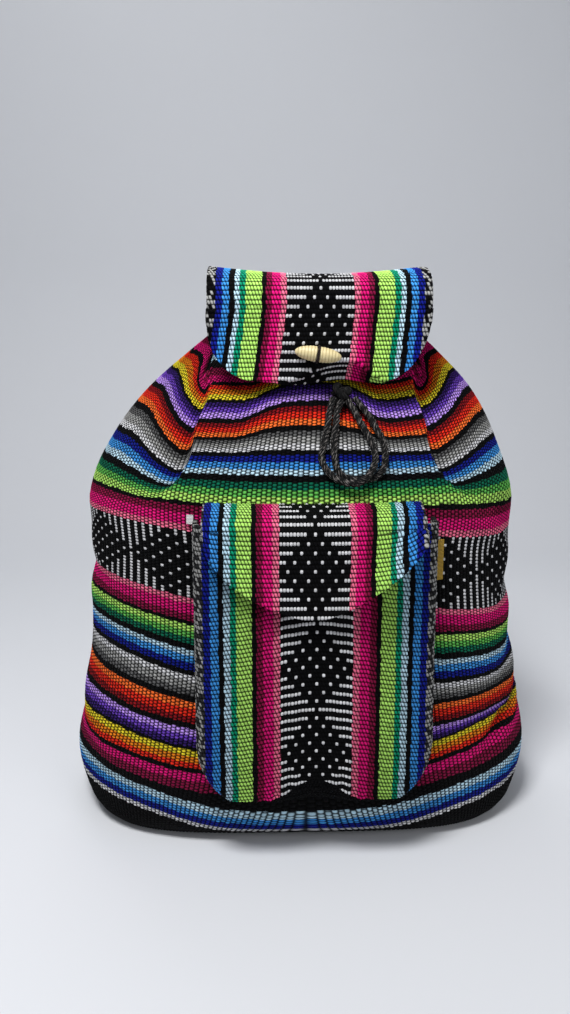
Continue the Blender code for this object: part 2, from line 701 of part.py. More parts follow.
def make_tag(name, x, z, width, height, colour):
    """A small bare tag that lies on the body beside the pocket."""
    def point(u, v):
        place = x + width * (u - 0.5)
        level = z + height * (v - 0.5)
        return Vector((place, body_front(place, level) - RIB - GAP - TAG_THICKNESS / 2, level))
    return sheet(name, point, 2, 4, TAG_THICKNESS, colour)


def make_all():
    """Build every piece of the bag."""
    make_body()
    make_base()
    make_flap()
    make_toggle()
    make_toggle_loop()
    make_pocket()
    make_pocket_flap()
    make_drawstring()
    make_strap("strap_left", -1)
    make_strap("strap_right", 1)
    make_hang_loop()
    beside = POCKET_WIDTH / 2 + GAP
    make_tag("side_tag", POCKET_X + beside + SIDE_TAG_WIDTH / 2, SIDE_TAG_Z,
             SIDE_TAG_WIDTH, SIDE_TAG_HEIGHT, (0.65, 0.45, 0.08))
    make_tag("white_tag", POCKET_X - beside - WHITE_TAG_WIDTH / 2, WHITE_TAG_Z,
             WHITE_TAG_WIDTH, WHITE_TAG_HEIGHT, (0.85, 0.85, 0.85))


for old in list(bpy.data.objects):
    bpy.data.objects.remove(old, do_unlink=True)
make_all()
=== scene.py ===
"""The woven drawstring backpack as it is put together, piece by piece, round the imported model."""

import math

import bpy
import numpy as np
from mathutils import Matrix, Vector


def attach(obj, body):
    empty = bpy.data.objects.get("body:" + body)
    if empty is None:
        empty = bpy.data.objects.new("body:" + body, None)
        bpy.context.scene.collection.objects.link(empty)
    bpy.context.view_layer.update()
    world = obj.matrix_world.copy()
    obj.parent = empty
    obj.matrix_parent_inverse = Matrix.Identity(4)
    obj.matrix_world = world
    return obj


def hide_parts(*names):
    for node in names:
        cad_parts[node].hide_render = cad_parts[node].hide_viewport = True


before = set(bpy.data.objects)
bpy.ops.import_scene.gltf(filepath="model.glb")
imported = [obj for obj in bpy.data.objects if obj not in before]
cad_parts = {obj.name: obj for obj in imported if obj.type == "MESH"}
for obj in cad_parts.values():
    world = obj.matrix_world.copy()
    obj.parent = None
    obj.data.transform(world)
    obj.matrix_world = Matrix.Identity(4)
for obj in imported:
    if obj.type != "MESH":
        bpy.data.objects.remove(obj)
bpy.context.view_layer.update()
scene = bpy.context.scene
scene.view_settings.view_transform = "Standard"

# The camera stands a little left of the bag, level with its neck, and looks down at it.
# Its place and lens are fitted to the photograph's perspective.
CAMERA_PLACE = (-0.0272, -0.583, 0.350)
CAMERA_TURN = math.radians(1.5)
CAMERA_DOWN = math.radians(12.5)
CAMERA_LENS = 27.8
camera_data = bpy.data.cameras.new("camera")
camera_data.lens = CAMERA_LENS
camera_data.sensor_width = 36.0
camera_data.clip_start = 0.01
camera = bpy.data.objects.new("camera", camera_data)
camera.location = CAMERA_PLACE
camera.rotation_euler = (math.pi / 2 - CAMERA_DOWN, 0.0, -CAMERA_TURN)
scene.collection.objects.link(camera)
scene.camera = camera

# The drawstring is a twisted cord of three black and grey cotton strands.
# It runs round the gathered neck and is tied at the front in a bow with two hanging loops.
CORD_DIAMETER = 0.0046
STRAND_TWIST = 0.0105
STRAND_CORE, STRAND_BULGE = 0.66, 0.38
FIBRE_LEAN, FIBRE_FINENESS, FIBRE_SCALE = 12.0, 560.0, 1.25
FIBRE_RELIEF = 0.0004
FLECK_FINENESS, FLECK_LEVEL, FLECK_EDGE = 240.0, 0.535, 9.0
# The bow hangs against the body's front, whose sizes follow; all levels go by the rim's height
RIM_HEIGHT = 0.382
BODY_WIDTH = 0.347
BODY_FRONT = 0.106
BODY_BACK = 0.072
NECK_LEAN = 0.009
SHOULDER = 0.623 * RIM_HEIGHT
NECK = 0.942 * RIM_HEIGHT
FLAP_BOTTOM = 0.8325 * RIM_HEIGHT
RIB = 0.0005
# Shares of rim height, half width, front depth and back depth, then the squareness of the section
BODY_STATIONS = np.array((
    (0.000, 0.865, 0.795, 0.917, 4.0),
    (0.032, 0.940, 0.925, 0.972, 3.2),
    (0.120, 1.000, 0.980, 1.000, 2.6),
    (0.235, 0.962, 1.000, 1.000, 2.4),
    (0.380, 0.911, 0.972, 1.000, 2.3),
    (0.525, 0.890, 0.953, 1.000, 2.3),
    (0.630, 0.893, 0.906, 1.000, 2.4),
    (0.727, 0.800, 0.783, 1.000, 2.4),
    (0.810, 0.678, 0.566, 1.000, 2.4),
    (0.890, 0.512, 0.340, 0.975, 2.3),
    (0.942, 0.405, 0.215, 0.890, 2.2),
    (1.000, 0.410, 0.250, 0.890, 2.2),
))


def smooth_step(value, low, high):
    """0 below low, 1 above high, smooth between."""
    share = np.clip((value - low) / (high - low), 0.0, 1.0)
    return share * share * (3 - 2 * share)


def body_section(height):
    """Half width, front depth, back depth and squareness of the body at each height."""
    marks = BODY_STATIONS[:, 0]
    share = np.clip(np.asarray(height, float) / RIM_HEIGHT, 0.0, 1.0)
    low = np.clip(np.searchsorted(marks, share, side="left") - 1, 0, len(marks) - 2)
    before, high = np.maximum(low - 1, 0), low + 1
    after = np.minimum(low + 2, len(marks) - 1)
    span = marks[high] - marks[low]
    t = (share - marks[low]) / span
    values = []
    for k in range(1, 5):
        column = BODY_STATIONS[:, k]
        slope_low = (column[high] - column[before]) / (marks[high] - marks[before]) * span
        slope_high = (column[after] - column[low]) / (marks[after] - marks[low]) * span
        values.append((2 * t**3 - 3 * t**2 + 1) * column[low] + (t**3 - 2 * t**2 + t) * slope_low
                      + (3 * t**2 - 2 * t**3) * column[high] + (t**3 - t**2) * slope_high)
    half, front, back, power = values
    return half * BODY_WIDTH / 2, front * BODY_FRONT, back * BODY_BACK, power


def body_lean(height):
    """How far the neck leans to one side at each height."""
    return NECK_LEAN * smooth_step(height, SHOULDER, NECK)


def body_front(x, height):
    """Y of the body's front at places seen from the front."""
    half, front, _, power = body_section(height)
    share = np.minimum(np.abs(x - body_lean(height)) / half, 1.0)
    return -front * (1 - share**power) ** (1 / power)


def smooth_path(route, count):
    """Evenly spread points on one smooth curve through the route's own points."""
    route = [Vector(point) for point in route]
    fine, steps = [], 24
    for i in range(len(route) - 1):
        before = route[i - 1] if i else route[0] * 2 - route[1]
        after = route[i + 2] if i + 2 < len(route) else route[-1] * 2 - route[-2]
        for step in range(steps):
            t = step / steps
            fine.append(0.5 * (2 * route[i] + (route[i + 1] - before) * t
                               + (2 * before - 5 * route[i] + 4 * route[i + 1] - after) * t * t
                               + (3 * route[i] - before - 3 * route[i + 1] + after) * t**3))
    fine.append(route[-1])
    fine = np.array([tuple(point) for point in fine])
    length = np.concatenate(([0.0], np.cumsum(np.linalg.norm(np.diff(fine, axis=0), axis=1))))
    wanted = np.linspace(0, length[-1], count)
    return np.stack([np.interp(wanted, length, fine[:, k]) for k in range(3)], 1), length[-1]


def add_piece(name, mesh, material, body="bag"):
    """Link a mesh as a piece of the bag that rides on a body."""
    piece = bpy.data.objects.new(name, mesh)
    scene.collection.objects.link(piece)
    mesh.materials.append(material)
    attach(piece, body)
    return piece


def new_material(name):
    """A node material and its Principled shader."""
    made = bpy.data.materials.new(name)
    made.use_nodes = True
    return made, made.node_tree, made.node_tree.nodes["Principled BSDF"]


def srgb(red, green, blue):
    """A colour read on the screen, 0 to 255, as a linear colour."""
    def linear(value):
        value /= 255
        return value / 12.92 if value <= 0.04045 else ((value + 0.055) / 1.055) ** 2.4
    return (linear(red), linear(green), linear(blue), 1.0)


def calc(tree, operation, *values):
    """One Math node; each value is a number or a socket."""
    node = tree.nodes.new("ShaderNodeMath")
    node.operation = operation
    for socket, value in zip(node.inputs, values):
        if isinstance(value, (int, float)):
            socket.default_value = value
        else:
            tree.links.new(value, socket)
    return node.outputs[0]


def blend_colour(tree, factor, low, high, mode="MIX"):
    """One colour Mix node; each value is a number, a colour or a socket."""
    node = tree.nodes.new("ShaderNodeMix")
    node.data_type = "RGBA"
    node.blend_type = mode
    for socket, value in ((node.inputs[0], factor), (node.inputs[6], low), (node.inputs[7], high)):
        if isinstance(value, (int, float, tuple)):
            socket.default_value = value
        else:
            tree.links.new(value, socket)
    return node.outputs[2]


def bump(tree, height, distance, strength=1.0, normal=None):
    """A Bump node over a height."""
    node = tree.nodes.new("ShaderNodeBump")
    node.inputs["Distance"].default_value = distance
    node.inputs["Strength"].default_value = strength
    tree.links.new(height, node.inputs["Height"])
    if normal is not None:
        tree.links.new(normal, node.inputs["Normal"])
    return node.outputs[0]


def noise(tree, vector, scale, detail):
    """A Noise texture's value over a vector."""
    node = tree.nodes.new("ShaderNodeTexNoise")
    node.inputs["Scale"].default_value = scale
    node.inputs["Detail"].default_value = detail
    tree.links.new(vector, node.inputs["Vector"])
    return node.outputs[0]


def weave_place(tree):
    """The weave's coordinates: the vector, and its parts along and across. On cloth both are in metres;
    on a cord and the toggle, across is a share of one turn."""
    node = tree.nodes.new("ShaderNodeUVMap")
    node.uv_map = "weave"
    parts = tree.nodes.new("ShaderNodeSeparateXYZ")
    tree.links.new(node.outputs[0], parts.inputs[0])
    return node.outputs[0], parts.outputs[0], parts.outputs[1]


def join(tree, first, second):
    """A vector from two values."""
    node = tree.nodes.new("ShaderNodeCombineXYZ")
    tree.links.new(first, node.inputs[0])
    tree.links.new(second, node.inputs[1])
    return node.outputs[0]


def new_group(name, inputs, outputs):
    """A shader node group with named value sockets."""
    group = bpy.data.node_groups.new(name, "ShaderNodeTree")
    for direction, sockets in (("INPUT", inputs), ("OUTPUT", outputs)):
        for socket in sockets:
            group.interface.new_socket(socket, in_out=direction, socket_type="NodeSocketFloat")
    return group, group.nodes.new("NodeGroupInput"), group.nodes.new("NodeGroupOutput")


def place_group(tree, group, along, across):
    """A node group in a material, fed with the two weave coordinates."""
    node = tree.nodes.new("ShaderNodeGroup")
    node.node_tree = group
    tree.links.new(along, node.inputs["Along"])
    tree.links.new(across, node.inputs["Across"])
    return node


def make_fibres_group():
    """A cord's fibres, which lean across its strands: their relief, and where a grey one shows."""
    group, given, result = new_group("cord_fibres", ("Along", "Across"), ("Height", "Fleck"))
    along, across = given.outputs["Along"], given.outputs["Across"]
    leaning = calc(group, "SUBTRACT", calc(group, "MULTIPLY", across, FIBRE_LEAN),
                   calc(group, "MULTIPLY", along, FIBRE_FINENESS))
    place = join(group, leaning, calc(group, "MULTIPLY", along, FLECK_FINENESS))
    height = noise(group, place, FIBRE_SCALE, 1.0)
    fleck = calc(group, "MULTIPLY", calc(group, "SUBTRACT", height, FLECK_LEVEL), FLECK_EDGE)
    fleck = calc(group, "MINIMUM", calc(group, "MAXIMUM", fleck, 0.0), 1.0)
    group.links.new(height, result.inputs["Height"])
    group.links.new(fleck, result.inputs["Fleck"])
    return group


FIBRES = make_fibres_group()


def make_rope_material(name, dark, light):
    """Twisted cotton: dark fibres flecked with lighter ones."""
    made, tree, shader = new_material(name)
    _, along, across = weave_place(tree)
    fibres = place_group(tree, FIBRES, along, across)
    colour = blend_colour(tree, fibres.outputs["Fleck"], dark, light)
    tree.links.new(colour, shader.inputs["Base Color"])
    tree.links.new(bump(tree, fibres.outputs["Height"], FIBRE_RELIEF, 0.6), shader.inputs["Normal"])
    shader.inputs["Roughness"].default_value = 0.85
    shader.inputs["Specular IOR Level"].default_value = 0.15
    shader.inputs["Sheen Weight"].default_value = 0.03
    return made


def corner_values(mesh, table):
    """For each face corner of a mesh, its vertex's row of a table."""
    corners = np.empty(len(mesh.loops), int)
    mesh.loops.foreach_get("vertex_index", corners)
    return table[corners]


def lay_weave(mesh, coordinates):
    """Give each face corner its place in the weave, and shade the mesh smooth."""
    mesh.uv_layers.new(name="weave").data.foreach_set("uv", coordinates.ravel())
    mesh.shade_smooth()


def tube_mesh(name, rings, along, across, closed=False):
    """A tube through rings of points, capped at its ends unless it is closed on itself. Its weave
    coordinates are one value along for each ring and one across for each point of a ring."""
    count, sides = rings.shape[:2]
    faces = []
    for i in range(count if closed else count - 1):
        low, high = i * sides, (i + 1) % count * sides
        faces += [(low + k, low + (k + 1) % sides, high + (k + 1) % sides, high + k) for k in range(sides)]
    if not closed:
        faces.append(tuple(range(sides - 1, -1, -1)))
        faces.append(tuple((count - 1) * sides + k for k in range(sides)))
    mesh = bpy.data.meshes.new(name)
    mesh.from_pydata([tuple(point) for point in rings.reshape(-1, 3).tolist()], [], faces)
    lay_weave(mesh, corner_values(mesh, np.stack((np.repeat(along, sides), np.tile(across, count)), 1)))
    return mesh


def rope_mesh(name, centres, radius, closed=False, sides=18, strands=3):
    """A twisted cord: a round section with one bulge for each strand, turning along its length."""
    if closed:
        tangents = np.roll(centres, -1, 0) - np.roll(centres, 1, 0)
    else:
        tangents = np.gradient(centres, axis=0)
    tangents /= np.linalg.norm(tangents, axis=1)[:, None]
    normal = np.cross(tangents[0], (0.0, 1.0, 0.2))
    normal /= np.linalg.norm(normal)
    steps = np.linalg.norm(np.diff(centres, axis=0), axis=1)
    length = np.concatenate(([0.0], np.cumsum(steps)))
    turns = length / STRAND_TWIST
    if closed:
        whole = length[-1] + np.linalg.norm(centres[0] - centres[-1])
        turns = length / whole * round(whole / STRAND_TWIST)
    rings = []
    angles = np.arange(sides) / sides * 2 * math.pi
    for centre, tangent, turn in zip(centres, tangents, turns):
        normal = normal - tangent * normal.dot(tangent)
        normal /= np.linalg.norm(normal)
        side = np.cross(tangent, normal)
        phase = strands * (angles - 2 * math.pi * turn) / 2
        swell = radius * (STRAND_CORE + STRAND_BULGE * np.abs(np.cos(phase)) ** 0.8)
        outward = np.cos(angles)[:, None] * normal + np.sin(angles)[:, None] * side
        rings.append(centre + swell[:, None] * outward)
    return tube_mesh(name, np.array(rings), length, np.arange(sides) / sides, closed)


rope_material = make_rope_material("drawstring_cotton", srgb(8, 8, 9), srgb(104, 100, 97))
# The routes: x, how far below the lid's edge, and how far the cord's middle stands off the cloth
BOW_X, BOW_HANG, BOW_STEPS = 0.005, 0.92, 220
FRONT_LOOP = ((0.0130, 0.0100, 0.0062), (0.0105, 0.0195, 0.0040), (0.0085, 0.0300, 0.0034),
              (0.0055, 0.0420, 0.0032), (0.0040, 0.0495, 0.0032), (0.0070, 0.0570, 0.0038),
              (0.0130, 0.0625, 0.0070), (0.0210, 0.0655, 0.0078), (0.0290, 0.0645, 0.0078),
              (0.0350, 0.0590, 0.0070), (0.0385, 0.0515, 0.0045), (0.0375, 0.0420, 0.0034),
              (0.0330, 0.0320, 0.0034), (0.0285, 0.0230, 0.0040), (0.0250, 0.0160, 0.0055),
              (0.0225, 0.0117, 0.0065))
BACK_LOOP = ((0.0184, 0.0123, 0.0062), (0.0155, 0.0190, 0.0040), (0.0140, 0.0300, 0.0032),
             (0.0125, 0.0400, 0.0032), (0.0125, 0.0490, 0.0030), (0.0140, 0.0570, 0.0026),
             (0.0180, 0.0620, 0.0026), (0.0270, 0.0645, 0.0026), (0.0370, 0.0635, 0.0026),
             (0.0435, 0.0580, 0.0028), (0.0455, 0.0480, 0.0032), (0.0445, 0.0395, 0.0032),
             (0.0400, 0.0300, 0.0034), (0.0345, 0.0200, 0.0038), (0.0290, 0.0130, 0.0050),
             (0.0274, 0.0100, 0.0060))
for node, route in (("bow_loop_front", FRONT_LOOP), ("bow_loop_back", BACK_LOOP)):
    levels = [FLAP_BOTTOM - BOW_HANG * below for _, below, _ in route]
    places = [(x + BOW_X, float(body_front(x + BOW_X, z)) - RIB - stand, z)
              for (x, _, stand), z in zip(route, levels)]
    centres, cord_length = smooth_path(places, BOW_STEPS)
    loop = add_piece(node + "_rope", rope_mesh(node + "_rope", centres, CORD_DIAMETER / 2), rope_material)
    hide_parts(node)

# The body is one tube of striped cotton. Coloured yarns run round the bag and float over thick black
# wefts, which stand as upright ribs. The tube is sewn at the back, gathered at the neck, and folded
# in at two creases in front. One band of brocade, with white floats in diamonds, runs round its middle.
CLOTH = 0.003
RIB_PITCH = 0.00285
YARN_PITCH = 0.0022
BROCADE_HALF = 10.5 * YARN_PITCH
BROCADE_HEIGHT = 0.200
REFERENCE_HEIGHT = 0.150
PLEATS = 10
PLEAT_DEPTH = 0.006
PLEAT_START = 0.312
SMALL_PLEATS = 27
SMALL_PLEAT_DEPTH = 0.0016
CREASE_LOW_X, CREASE_RIGHT_SHIFT = 0.108, 0.018
CREASE_HIGH_X, CREASE_NECK_SHIFT = 0.072, 0.009
CREASE_RUN = 0.018
CREASE_DEPTH = 0.009
CREASE_DROP = 0.018
LIP = 0.0025
LUMP = 0.0011
# Between the creases the stripes rise by PANEL_RISE, and hang in a swag that is lowest at SWAG_X. Its
# spread is given toward the middle, and outward on the left and on the right
PANEL_RISE = 0.0025
SWAG_DROP, SWAG_X = 0.0115, 0.060
SWAG_IN, SWAG_LEFT, SWAG_RIGHT = 0.024, 0.200, 0.060
# Heights in metres, and how many millimetres the cloth rides up or slumps there: at its two sides and
# at the middle of its foot
DRAPE_HEIGHTS = (0.0, 0.018, 0.034, 0.055, 0.072, 0.090, 0.105, 0.122, 0.158, 0.177, 0.223, 0.240, 0.262,
                 0.290, 0.320, 0.345, 0.380)
LEFT_LIFT = (0, 14, 15, 12, 11, 10, 12, 16, 14, 13, 8, 5, 11, 16, 13, 17, 0)
RIGHT_LIFT = (0, 12, 13, 17, 16, 0, -4, -10, -14, -17, -10, -9, 7, 11, 13, 18, 0)
FOOT_HEIGHTS, FOOT_LIFT = (0.0, 0.0165, 0.036, 0.044, 0.080), (0, -9.5, -10, 1, 0)
SAMPLES_PER_RIB = 4
BODY_RIB_PITCH = 0.00315
BODY_ROWS = 72
LINING_ROW_STEP, LINING_COLUMN_STEP = 4, 8
# A white float's share of the two ribs that it spans, and the angle at its end, just under a quarter turn
FLOAT_SHARE, FLOAT_END = 0.46, 1.57
FLOAT_RELIEF = 0.0009
YARN_TWIST_ALONG, YARN_TWIST_ACROSS, YARN_TWIST_RELIEF = 9000.0, 5200.0, 0.00005
STRIPE_WANDER = 0.0009
WEAR_SCALE = 55.0

BLACK = srgb(7, 7, 9)
PALE, LIGHT_BLUE, NAVY = srgb(180, 212, 228), srgb(60, 140, 212), srgb(16, 28, 128)
WHITE, GREY, DARK_GREY = srgb(208, 208, 210), srgb(150, 150, 148), srgb(88, 88, 88)
LIME, GREEN, DARK_GREEN = srgb(172, 224, 104), srgb(92, 176, 78), srgb(10, 98, 72)
SALMON, HOT_PINK, MAROON = srgb(232, 108, 140), srgb(214, 22, 112), srgb(128, 18, 60)
ORANGE, RED, DARK_RED = srgb(245, 110, 45), srgb(222, 42, 25), srgb(130, 16, 24)
LAVENDER, PURPLE, DARK_PURPLE = srgb(185, 145, 235), srgb(105, 65, 180), srgb(48, 26, 98)
YELLOW, AMBER = srgb(225, 205, 45), srgb(225, 125, 25)
# Outward from the edge of the brocade: colour and width in millimetres
BODY_STRIPES_NEAR = (
    (SALMON, 4.0), (HOT_PINK, 7.5), (MAROON, 5.0), (BLACK, 2.5),
    (LIME, 5.0), (GREEN, 4.0), (DARK_GREEN, 4.5), (BLACK, 4.5),
    (PALE, 4.0), (LIGHT_BLUE, 5.0), (NAVY, 5.0), (BLACK, 3.5),
    (WHITE, 4.0), (GREY, 5.0), (DARK_GREY, 4.0), (BLACK, 4.0),
)
BODY_STRIPES_FAR = (
    (ORANGE, 4.5), (RED, 5.0), (DARK_RED, 4.5), (BLACK, 4.0),
    (LAVENDER, 4.5), (PURPLE, 4.5), (DARK_PURPLE, 4.0), (BLACK, 2.5),
    (YELLOW, 4.5), (AMBER, 4.5), (RED, 4.5), (BLACK, 3.0),
    (HOT_PINK, 7.0), (MAROON, 7.0), (BLACK, 7.0),
    (PALE, 5.0), (LIGHT_BLUE, 5.5), (NAVY, 5.5), (WHITE, 3.5), (BLACK, 60.0),
)


def ellipse_points(angle, half, front, back, power):
    """Points and outward normals of a squared ellipse; angle 0 is the front."""
    sine, cosine = np.sin(angle), np.cos(angle)
    depth = np.where(cosine > 0, front, back)
    x = half * np.sign(sine) * np.abs(sine) ** (2 / power)
    y = -depth * np.sign(cosine) * np.abs(cosine) ** (2 / power)
    normal_x = np.sign(sine) * np.abs(sine) ** (2 - 2 / power) / half
    normal_y = -np.sign(cosine) * np.abs(cosine) ** (2 - 2 / power) / depth
    size = np.hypot(normal_x, normal_y)
    return x, y, normal_x / size, normal_y / size


def angle_table():
    """Angles round the body and the cloth's length from the front centre at the reference height."""
    step = np.linspace(0, 1, 4001)
    quarter = math.pi / 2 * step**2 / (step**2 + (1 - step) ** 2)
    angles = np.concatenate((quarter, math.pi / 2 + quarter[1:]))
    x, y, _, _ = ellipse_points(angles, *(float(value) for value in body_section(REFERENCE_HEIGHT)))
    return angles, np.concatenate(([0.0], np.cumsum(np.hypot(np.diff(x), np.diff(y)))))


def height_table():
    """Heights and the cloth's length up from the brocade's centre, by the side profile."""
    heights = np.linspace(0, RIM_HEIGHT, 2001)
    half, _, _, _ = body_section(heights)
    length = np.concatenate(([0.0], np.cumsum(np.hypot(np.diff(heights), np.diff(half)))))
    return heights, length - np.interp(BROCADE_HEIGHT, heights, length)


ANGLES, ANGLE_LENGTHS = angle_table()
HEIGHTS, HEIGHT_LENGTHS = height_table()
HALF_GIRTH = float(ANGLE_LENGTHS[-1])
RIBS = 2 * round(HALF_GIRTH / RIB_PITCH)
RIB_SPACING = 2 * HALF_GIRTH / RIBS
BODY_RIBS = 2 * round(HALF_GIRTH / BODY_RIB_PITCH)
BODY_RIB_SPACING = 2 * HALF_GIRTH / BODY_RIBS
# Folds that handling left in the cloth: start and end (round, up) in metres of cloth, width, depth.
# A fold pushes up a lower rim beside it
FOLD_RIM = 0.45
BODY_FOLDS = (
    (0.232, -0.085, 0.118, -0.150, 0.0060, 0.0050),
    (0.225, -0.060, 0.150, -0.105, 0.0090, -0.0030),
    (0.175, 0.030, 0.105, 0.050, 0.0070, 0.0030),
    (-0.190, 0.045, -0.120, 0.040, 0.0080, 0.0030),
    (-0.215, -0.020, -0.150, -0.035, 0.0100, 0.0025),
    (0.215, -0.010, 0.150, -0.020, 0.0100, 0.0025),
    (-0.205, -0.110, -0.120, -0.150, 0.0120, -0.0025),
)


def fold_depth(round_place, up_place):
    """Inward depth of the handling folds at places of the cloth."""
    depth = np.zeros_like(round_place)
    for x0, y0, x1, y1, width, fold in BODY_FOLDS:
        along_x, along_y = x1 - x0, y1 - y0
        size = along_x**2 + along_y**2
        share = ((round_place - x0) * along_x + (up_place - y0) * along_y) / size
        inside = np.clip(share, 0, 1)
        away = np.hypot(round_place - x0 - inside * along_x, up_place - y0 - inside * along_y)
        taper = np.sqrt(np.clip(4 * inside * (1 - inside), 0.05, 1))
        rim = FOLD_RIM * np.exp(-((away - 2 * width) / width) ** 2)
        depth += fold * taper * (np.exp(-(away / width) ** 2) - rim)
    return depth


def cloth_lift(round_place, level, behind):
    """How far the stripes are lifted from level: more to the sides, less where the pocket pulls the foot
    down in front, and in a wave between the two creases. At the seam in the back the sides meet."""
    away = np.abs(round_place)
    left = np.interp(level, DRAPE_HEIGHTS, LEFT_LIFT) / 1000
    right = np.interp(level, DRAPE_HEIGHTS, RIGHT_LIFT) / 1000
    at_seam = 0.5 * smooth_step(away, 0.55 * HALF_GIRTH, HALF_GIRTH)
    side = np.where(round_place < 0, left + (right - left) * at_seam, right + (left - right) * at_seam)
    low = smooth_step(away, 0.035, 0.165)
    high = smooth_step(behind, 0.006, 0.075 - 0.035 * smooth_step(level, 0.315, 0.335))
    up = smooth_step(level, 0.235, 0.262)
    lift = side * (low + (high - low) * up)
    lift = lift + np.interp(level, FOOT_HEIGHTS, FOOT_LIFT) / 1000 * (1 - smooth_step(away, 0.010, 0.095))
    spread = np.where(away < SWAG_X, SWAG_IN, np.where(round_place < 0, SWAG_LEFT, SWAG_RIGHT))
    swag = np.exp(-((away - SWAG_X) / spread) ** 2) * smooth_step(level, 0.262, 0.307)
    panel = smooth_step(level, 0.236, 0.256) * (1 - smooth_step(level, 0.315, 0.340))
    return lift + (panel * PANEL_RISE - SWAG_DROP * swag) * np.exp(-behind / 0.004)


def body_surface(round_place, up_place, inset=0.0, ribbed=True):
    """The body's cloth at places given in metres of cloth: round from the front centre, and up."""
    round_place, up_place = np.broadcast_arrays(round_place, up_place)
    angle = np.sign(round_place) * np.interp(np.abs(round_place), ANGLE_LENGTHS, ANGLES)
    level = np.interp(up_place, HEIGHT_LENGTHS, HEIGHTS)
    half, _, _, power = body_section(level)
    low_x = CREASE_LOW_X + np.where(round_place > 0, CREASE_RIGHT_SHIFT, 0.0)
    above = np.maximum(level - SHOULDER, 0)
    crease_x = CREASE_HIGH_X + (low_x - CREASE_HIGH_X) * np.exp(-above / CREASE_RUN)
    crease_x = crease_x - CREASE_NECK_SHIFT * smooth_step(level, 0.292, 0.325)
    crease_angle = np.arcsin(np.minimum(crease_x / half, 0.97) ** (power / 2))
    off = np.abs(round_place) - np.interp(crease_angle, ANGLES, ANGLE_LENGTHS)
    rise = smooth_step(level, SHOULDER, SHOULDER + 0.045) * (1 - smooth_step(level, 0.335, NECK))
    behind = np.maximum(off, 0.0)
    drop = CREASE_DROP * rise * np.exp(-behind / 0.045) * (1 - np.exp(-behind / 0.003))
    drop = drop - cloth_lift(round_place, level, behind)
    tuck = CREASE_DEPTH * rise * np.exp(-behind / 0.022) * (1 - np.exp(-behind / 0.002))
    lip = LIP * rise * np.exp(-np.maximum(-off, 0.0) / 0.012) * np.exp(-behind / 0.002)
    height = np.maximum(level - drop, 0.0)
    half, front, back, power = body_section(height)
    x, y, normal_x, normal_y = ellipse_points(angle, half, front, back, power)
    gather = smooth_step(level, PLEAT_START, NECK)
    pleat = PLEAT_DEPTH * gather * (0.5 - 0.5 * np.cos(PLEATS * angle))
    small = smooth_step(level, PLEAT_START - 0.02, NECK) * SMALL_PLEAT_DEPTH
    pleat = pleat + small * (0.5 + 0.5 * np.cos(SMALL_PLEATS * angle + 1.2 * np.sin(3 * angle)))
    soft = smooth_step(level, 0.008, 0.05) * (1 - 0.8 * gather)
    lumps = np.sin(31 * round_place + 17 * up_place + 0.7) + np.sin(43 * up_place - 19 * round_place)
    move = lip + LUMP * soft * lumps - inset - pleat - tuck - fold_depth(round_place, up_place) * soft
    if ribbed:
        ribs = np.abs(np.sin(math.pi * (round_place + HALF_GIRTH) / BODY_RIB_SPACING))
        move = move + RIB * ribs - RIB / 2
    return np.stack((x + normal_x * move + body_lean(height), y + normal_y * move, height), -1)


def cloth_shell(name, outer, inner, places, wrap=False):
    """A closed sheet: a fine outer grid, a coarse inner grid, and edges of many-sided faces between them.
    places is the grid of weave coordinates of the outer points; wrap joins the last column to the first."""
    rows, columns = outer.shape[:2]
    inner_rows, inner_columns = inner.shape[:2]
    step_down = (rows - 1) // (inner_rows - 1)
    step_round = columns // inner_columns if wrap else (columns - 1) // (inner_columns - 1)
    first_inner = rows * columns

    def quads(total_rows, total_columns, first, flip):
        last = total_columns if wrap else total_columns - 1
        row, column = np.meshgrid(np.arange(total_rows - 1), np.arange(last), indexing="ij")
        after = (column + 1) % total_columns
        corners = np.stack(((row, column), (row, after), (row + 1, after), (row + 1, column)), 0)
        ids = first + corners[:, 0] * total_columns + corners[:, 1]
        ids = np.moveaxis(ids, 0, -1).reshape(-1, 4)
        return ids[:, ::-1] if flip else ids

    faces = [tuple(face) for face in quads(rows, columns, 0, False).tolist()]
    outer_count = len(faces)
    faces += [tuple(face) for face in quads(inner_rows, inner_columns, first_inner, True).tolist()]

    def edge(fine, coarse, step, flip):
        for i in range(len(coarse) - 1):
            face = list(fine[i * step:(i + 1) * step + 1]) + [coarse[i + 1], coarse[i]]
            faces.append(tuple(face[::-1] if flip else face))

    for row, inner_row, flip in ((0, 0, True), (rows - 1, inner_rows - 1, False)):
        fine = [row * columns + i for i in range(columns)]
        coarse = [first_inner + inner_row * inner_columns + i for i in range(inner_columns)]
        if wrap:
            fine, coarse = fine + fine[:1], coarse + coarse[:1]
        edge(fine, coarse, step_round, flip)
    if not wrap:
        for column, inner_column, flip in ((0, 0, False), (columns - 1, inner_columns - 1, True)):
            fine = [j * columns + column for j in range(rows)]
            coarse = [first_inner + j * inner_columns + inner_column for j in range(inner_rows)]
            edge(fine, coarse, step_down, flip)
    mesh = bpy.data.meshes.new(name)
    verts = np.concatenate((outer.reshape(-1, 3), inner.reshape(-1, 3)))
    mesh.from_pydata([tuple(v) for v in verts.tolist()], [], faces)
    inner_places = places[::step_down, ::step_round][:inner_rows, :inner_columns]
    coordinates = corner_values(mesh, np.concatenate((places.reshape(-1, 2), inner_places.reshape(-1, 2))))
    if wrap:
        seam = coordinates[:outer_count * 4].reshape(-1, 4, 2)
        jump = seam[:, :, 0].max(1) - seam[:, :, 0].min(1) > HALF_GIRTH
        seam[jump] = np.where(seam[jump][:, :, :1] < 0, seam[jump] + (2 * HALF_GIRTH, 0), seam[jump])
        coordinates[:outer_count * 4] = seam.reshape(-1, 2)
    lay_weave(mesh, coordinates)
    return mesh


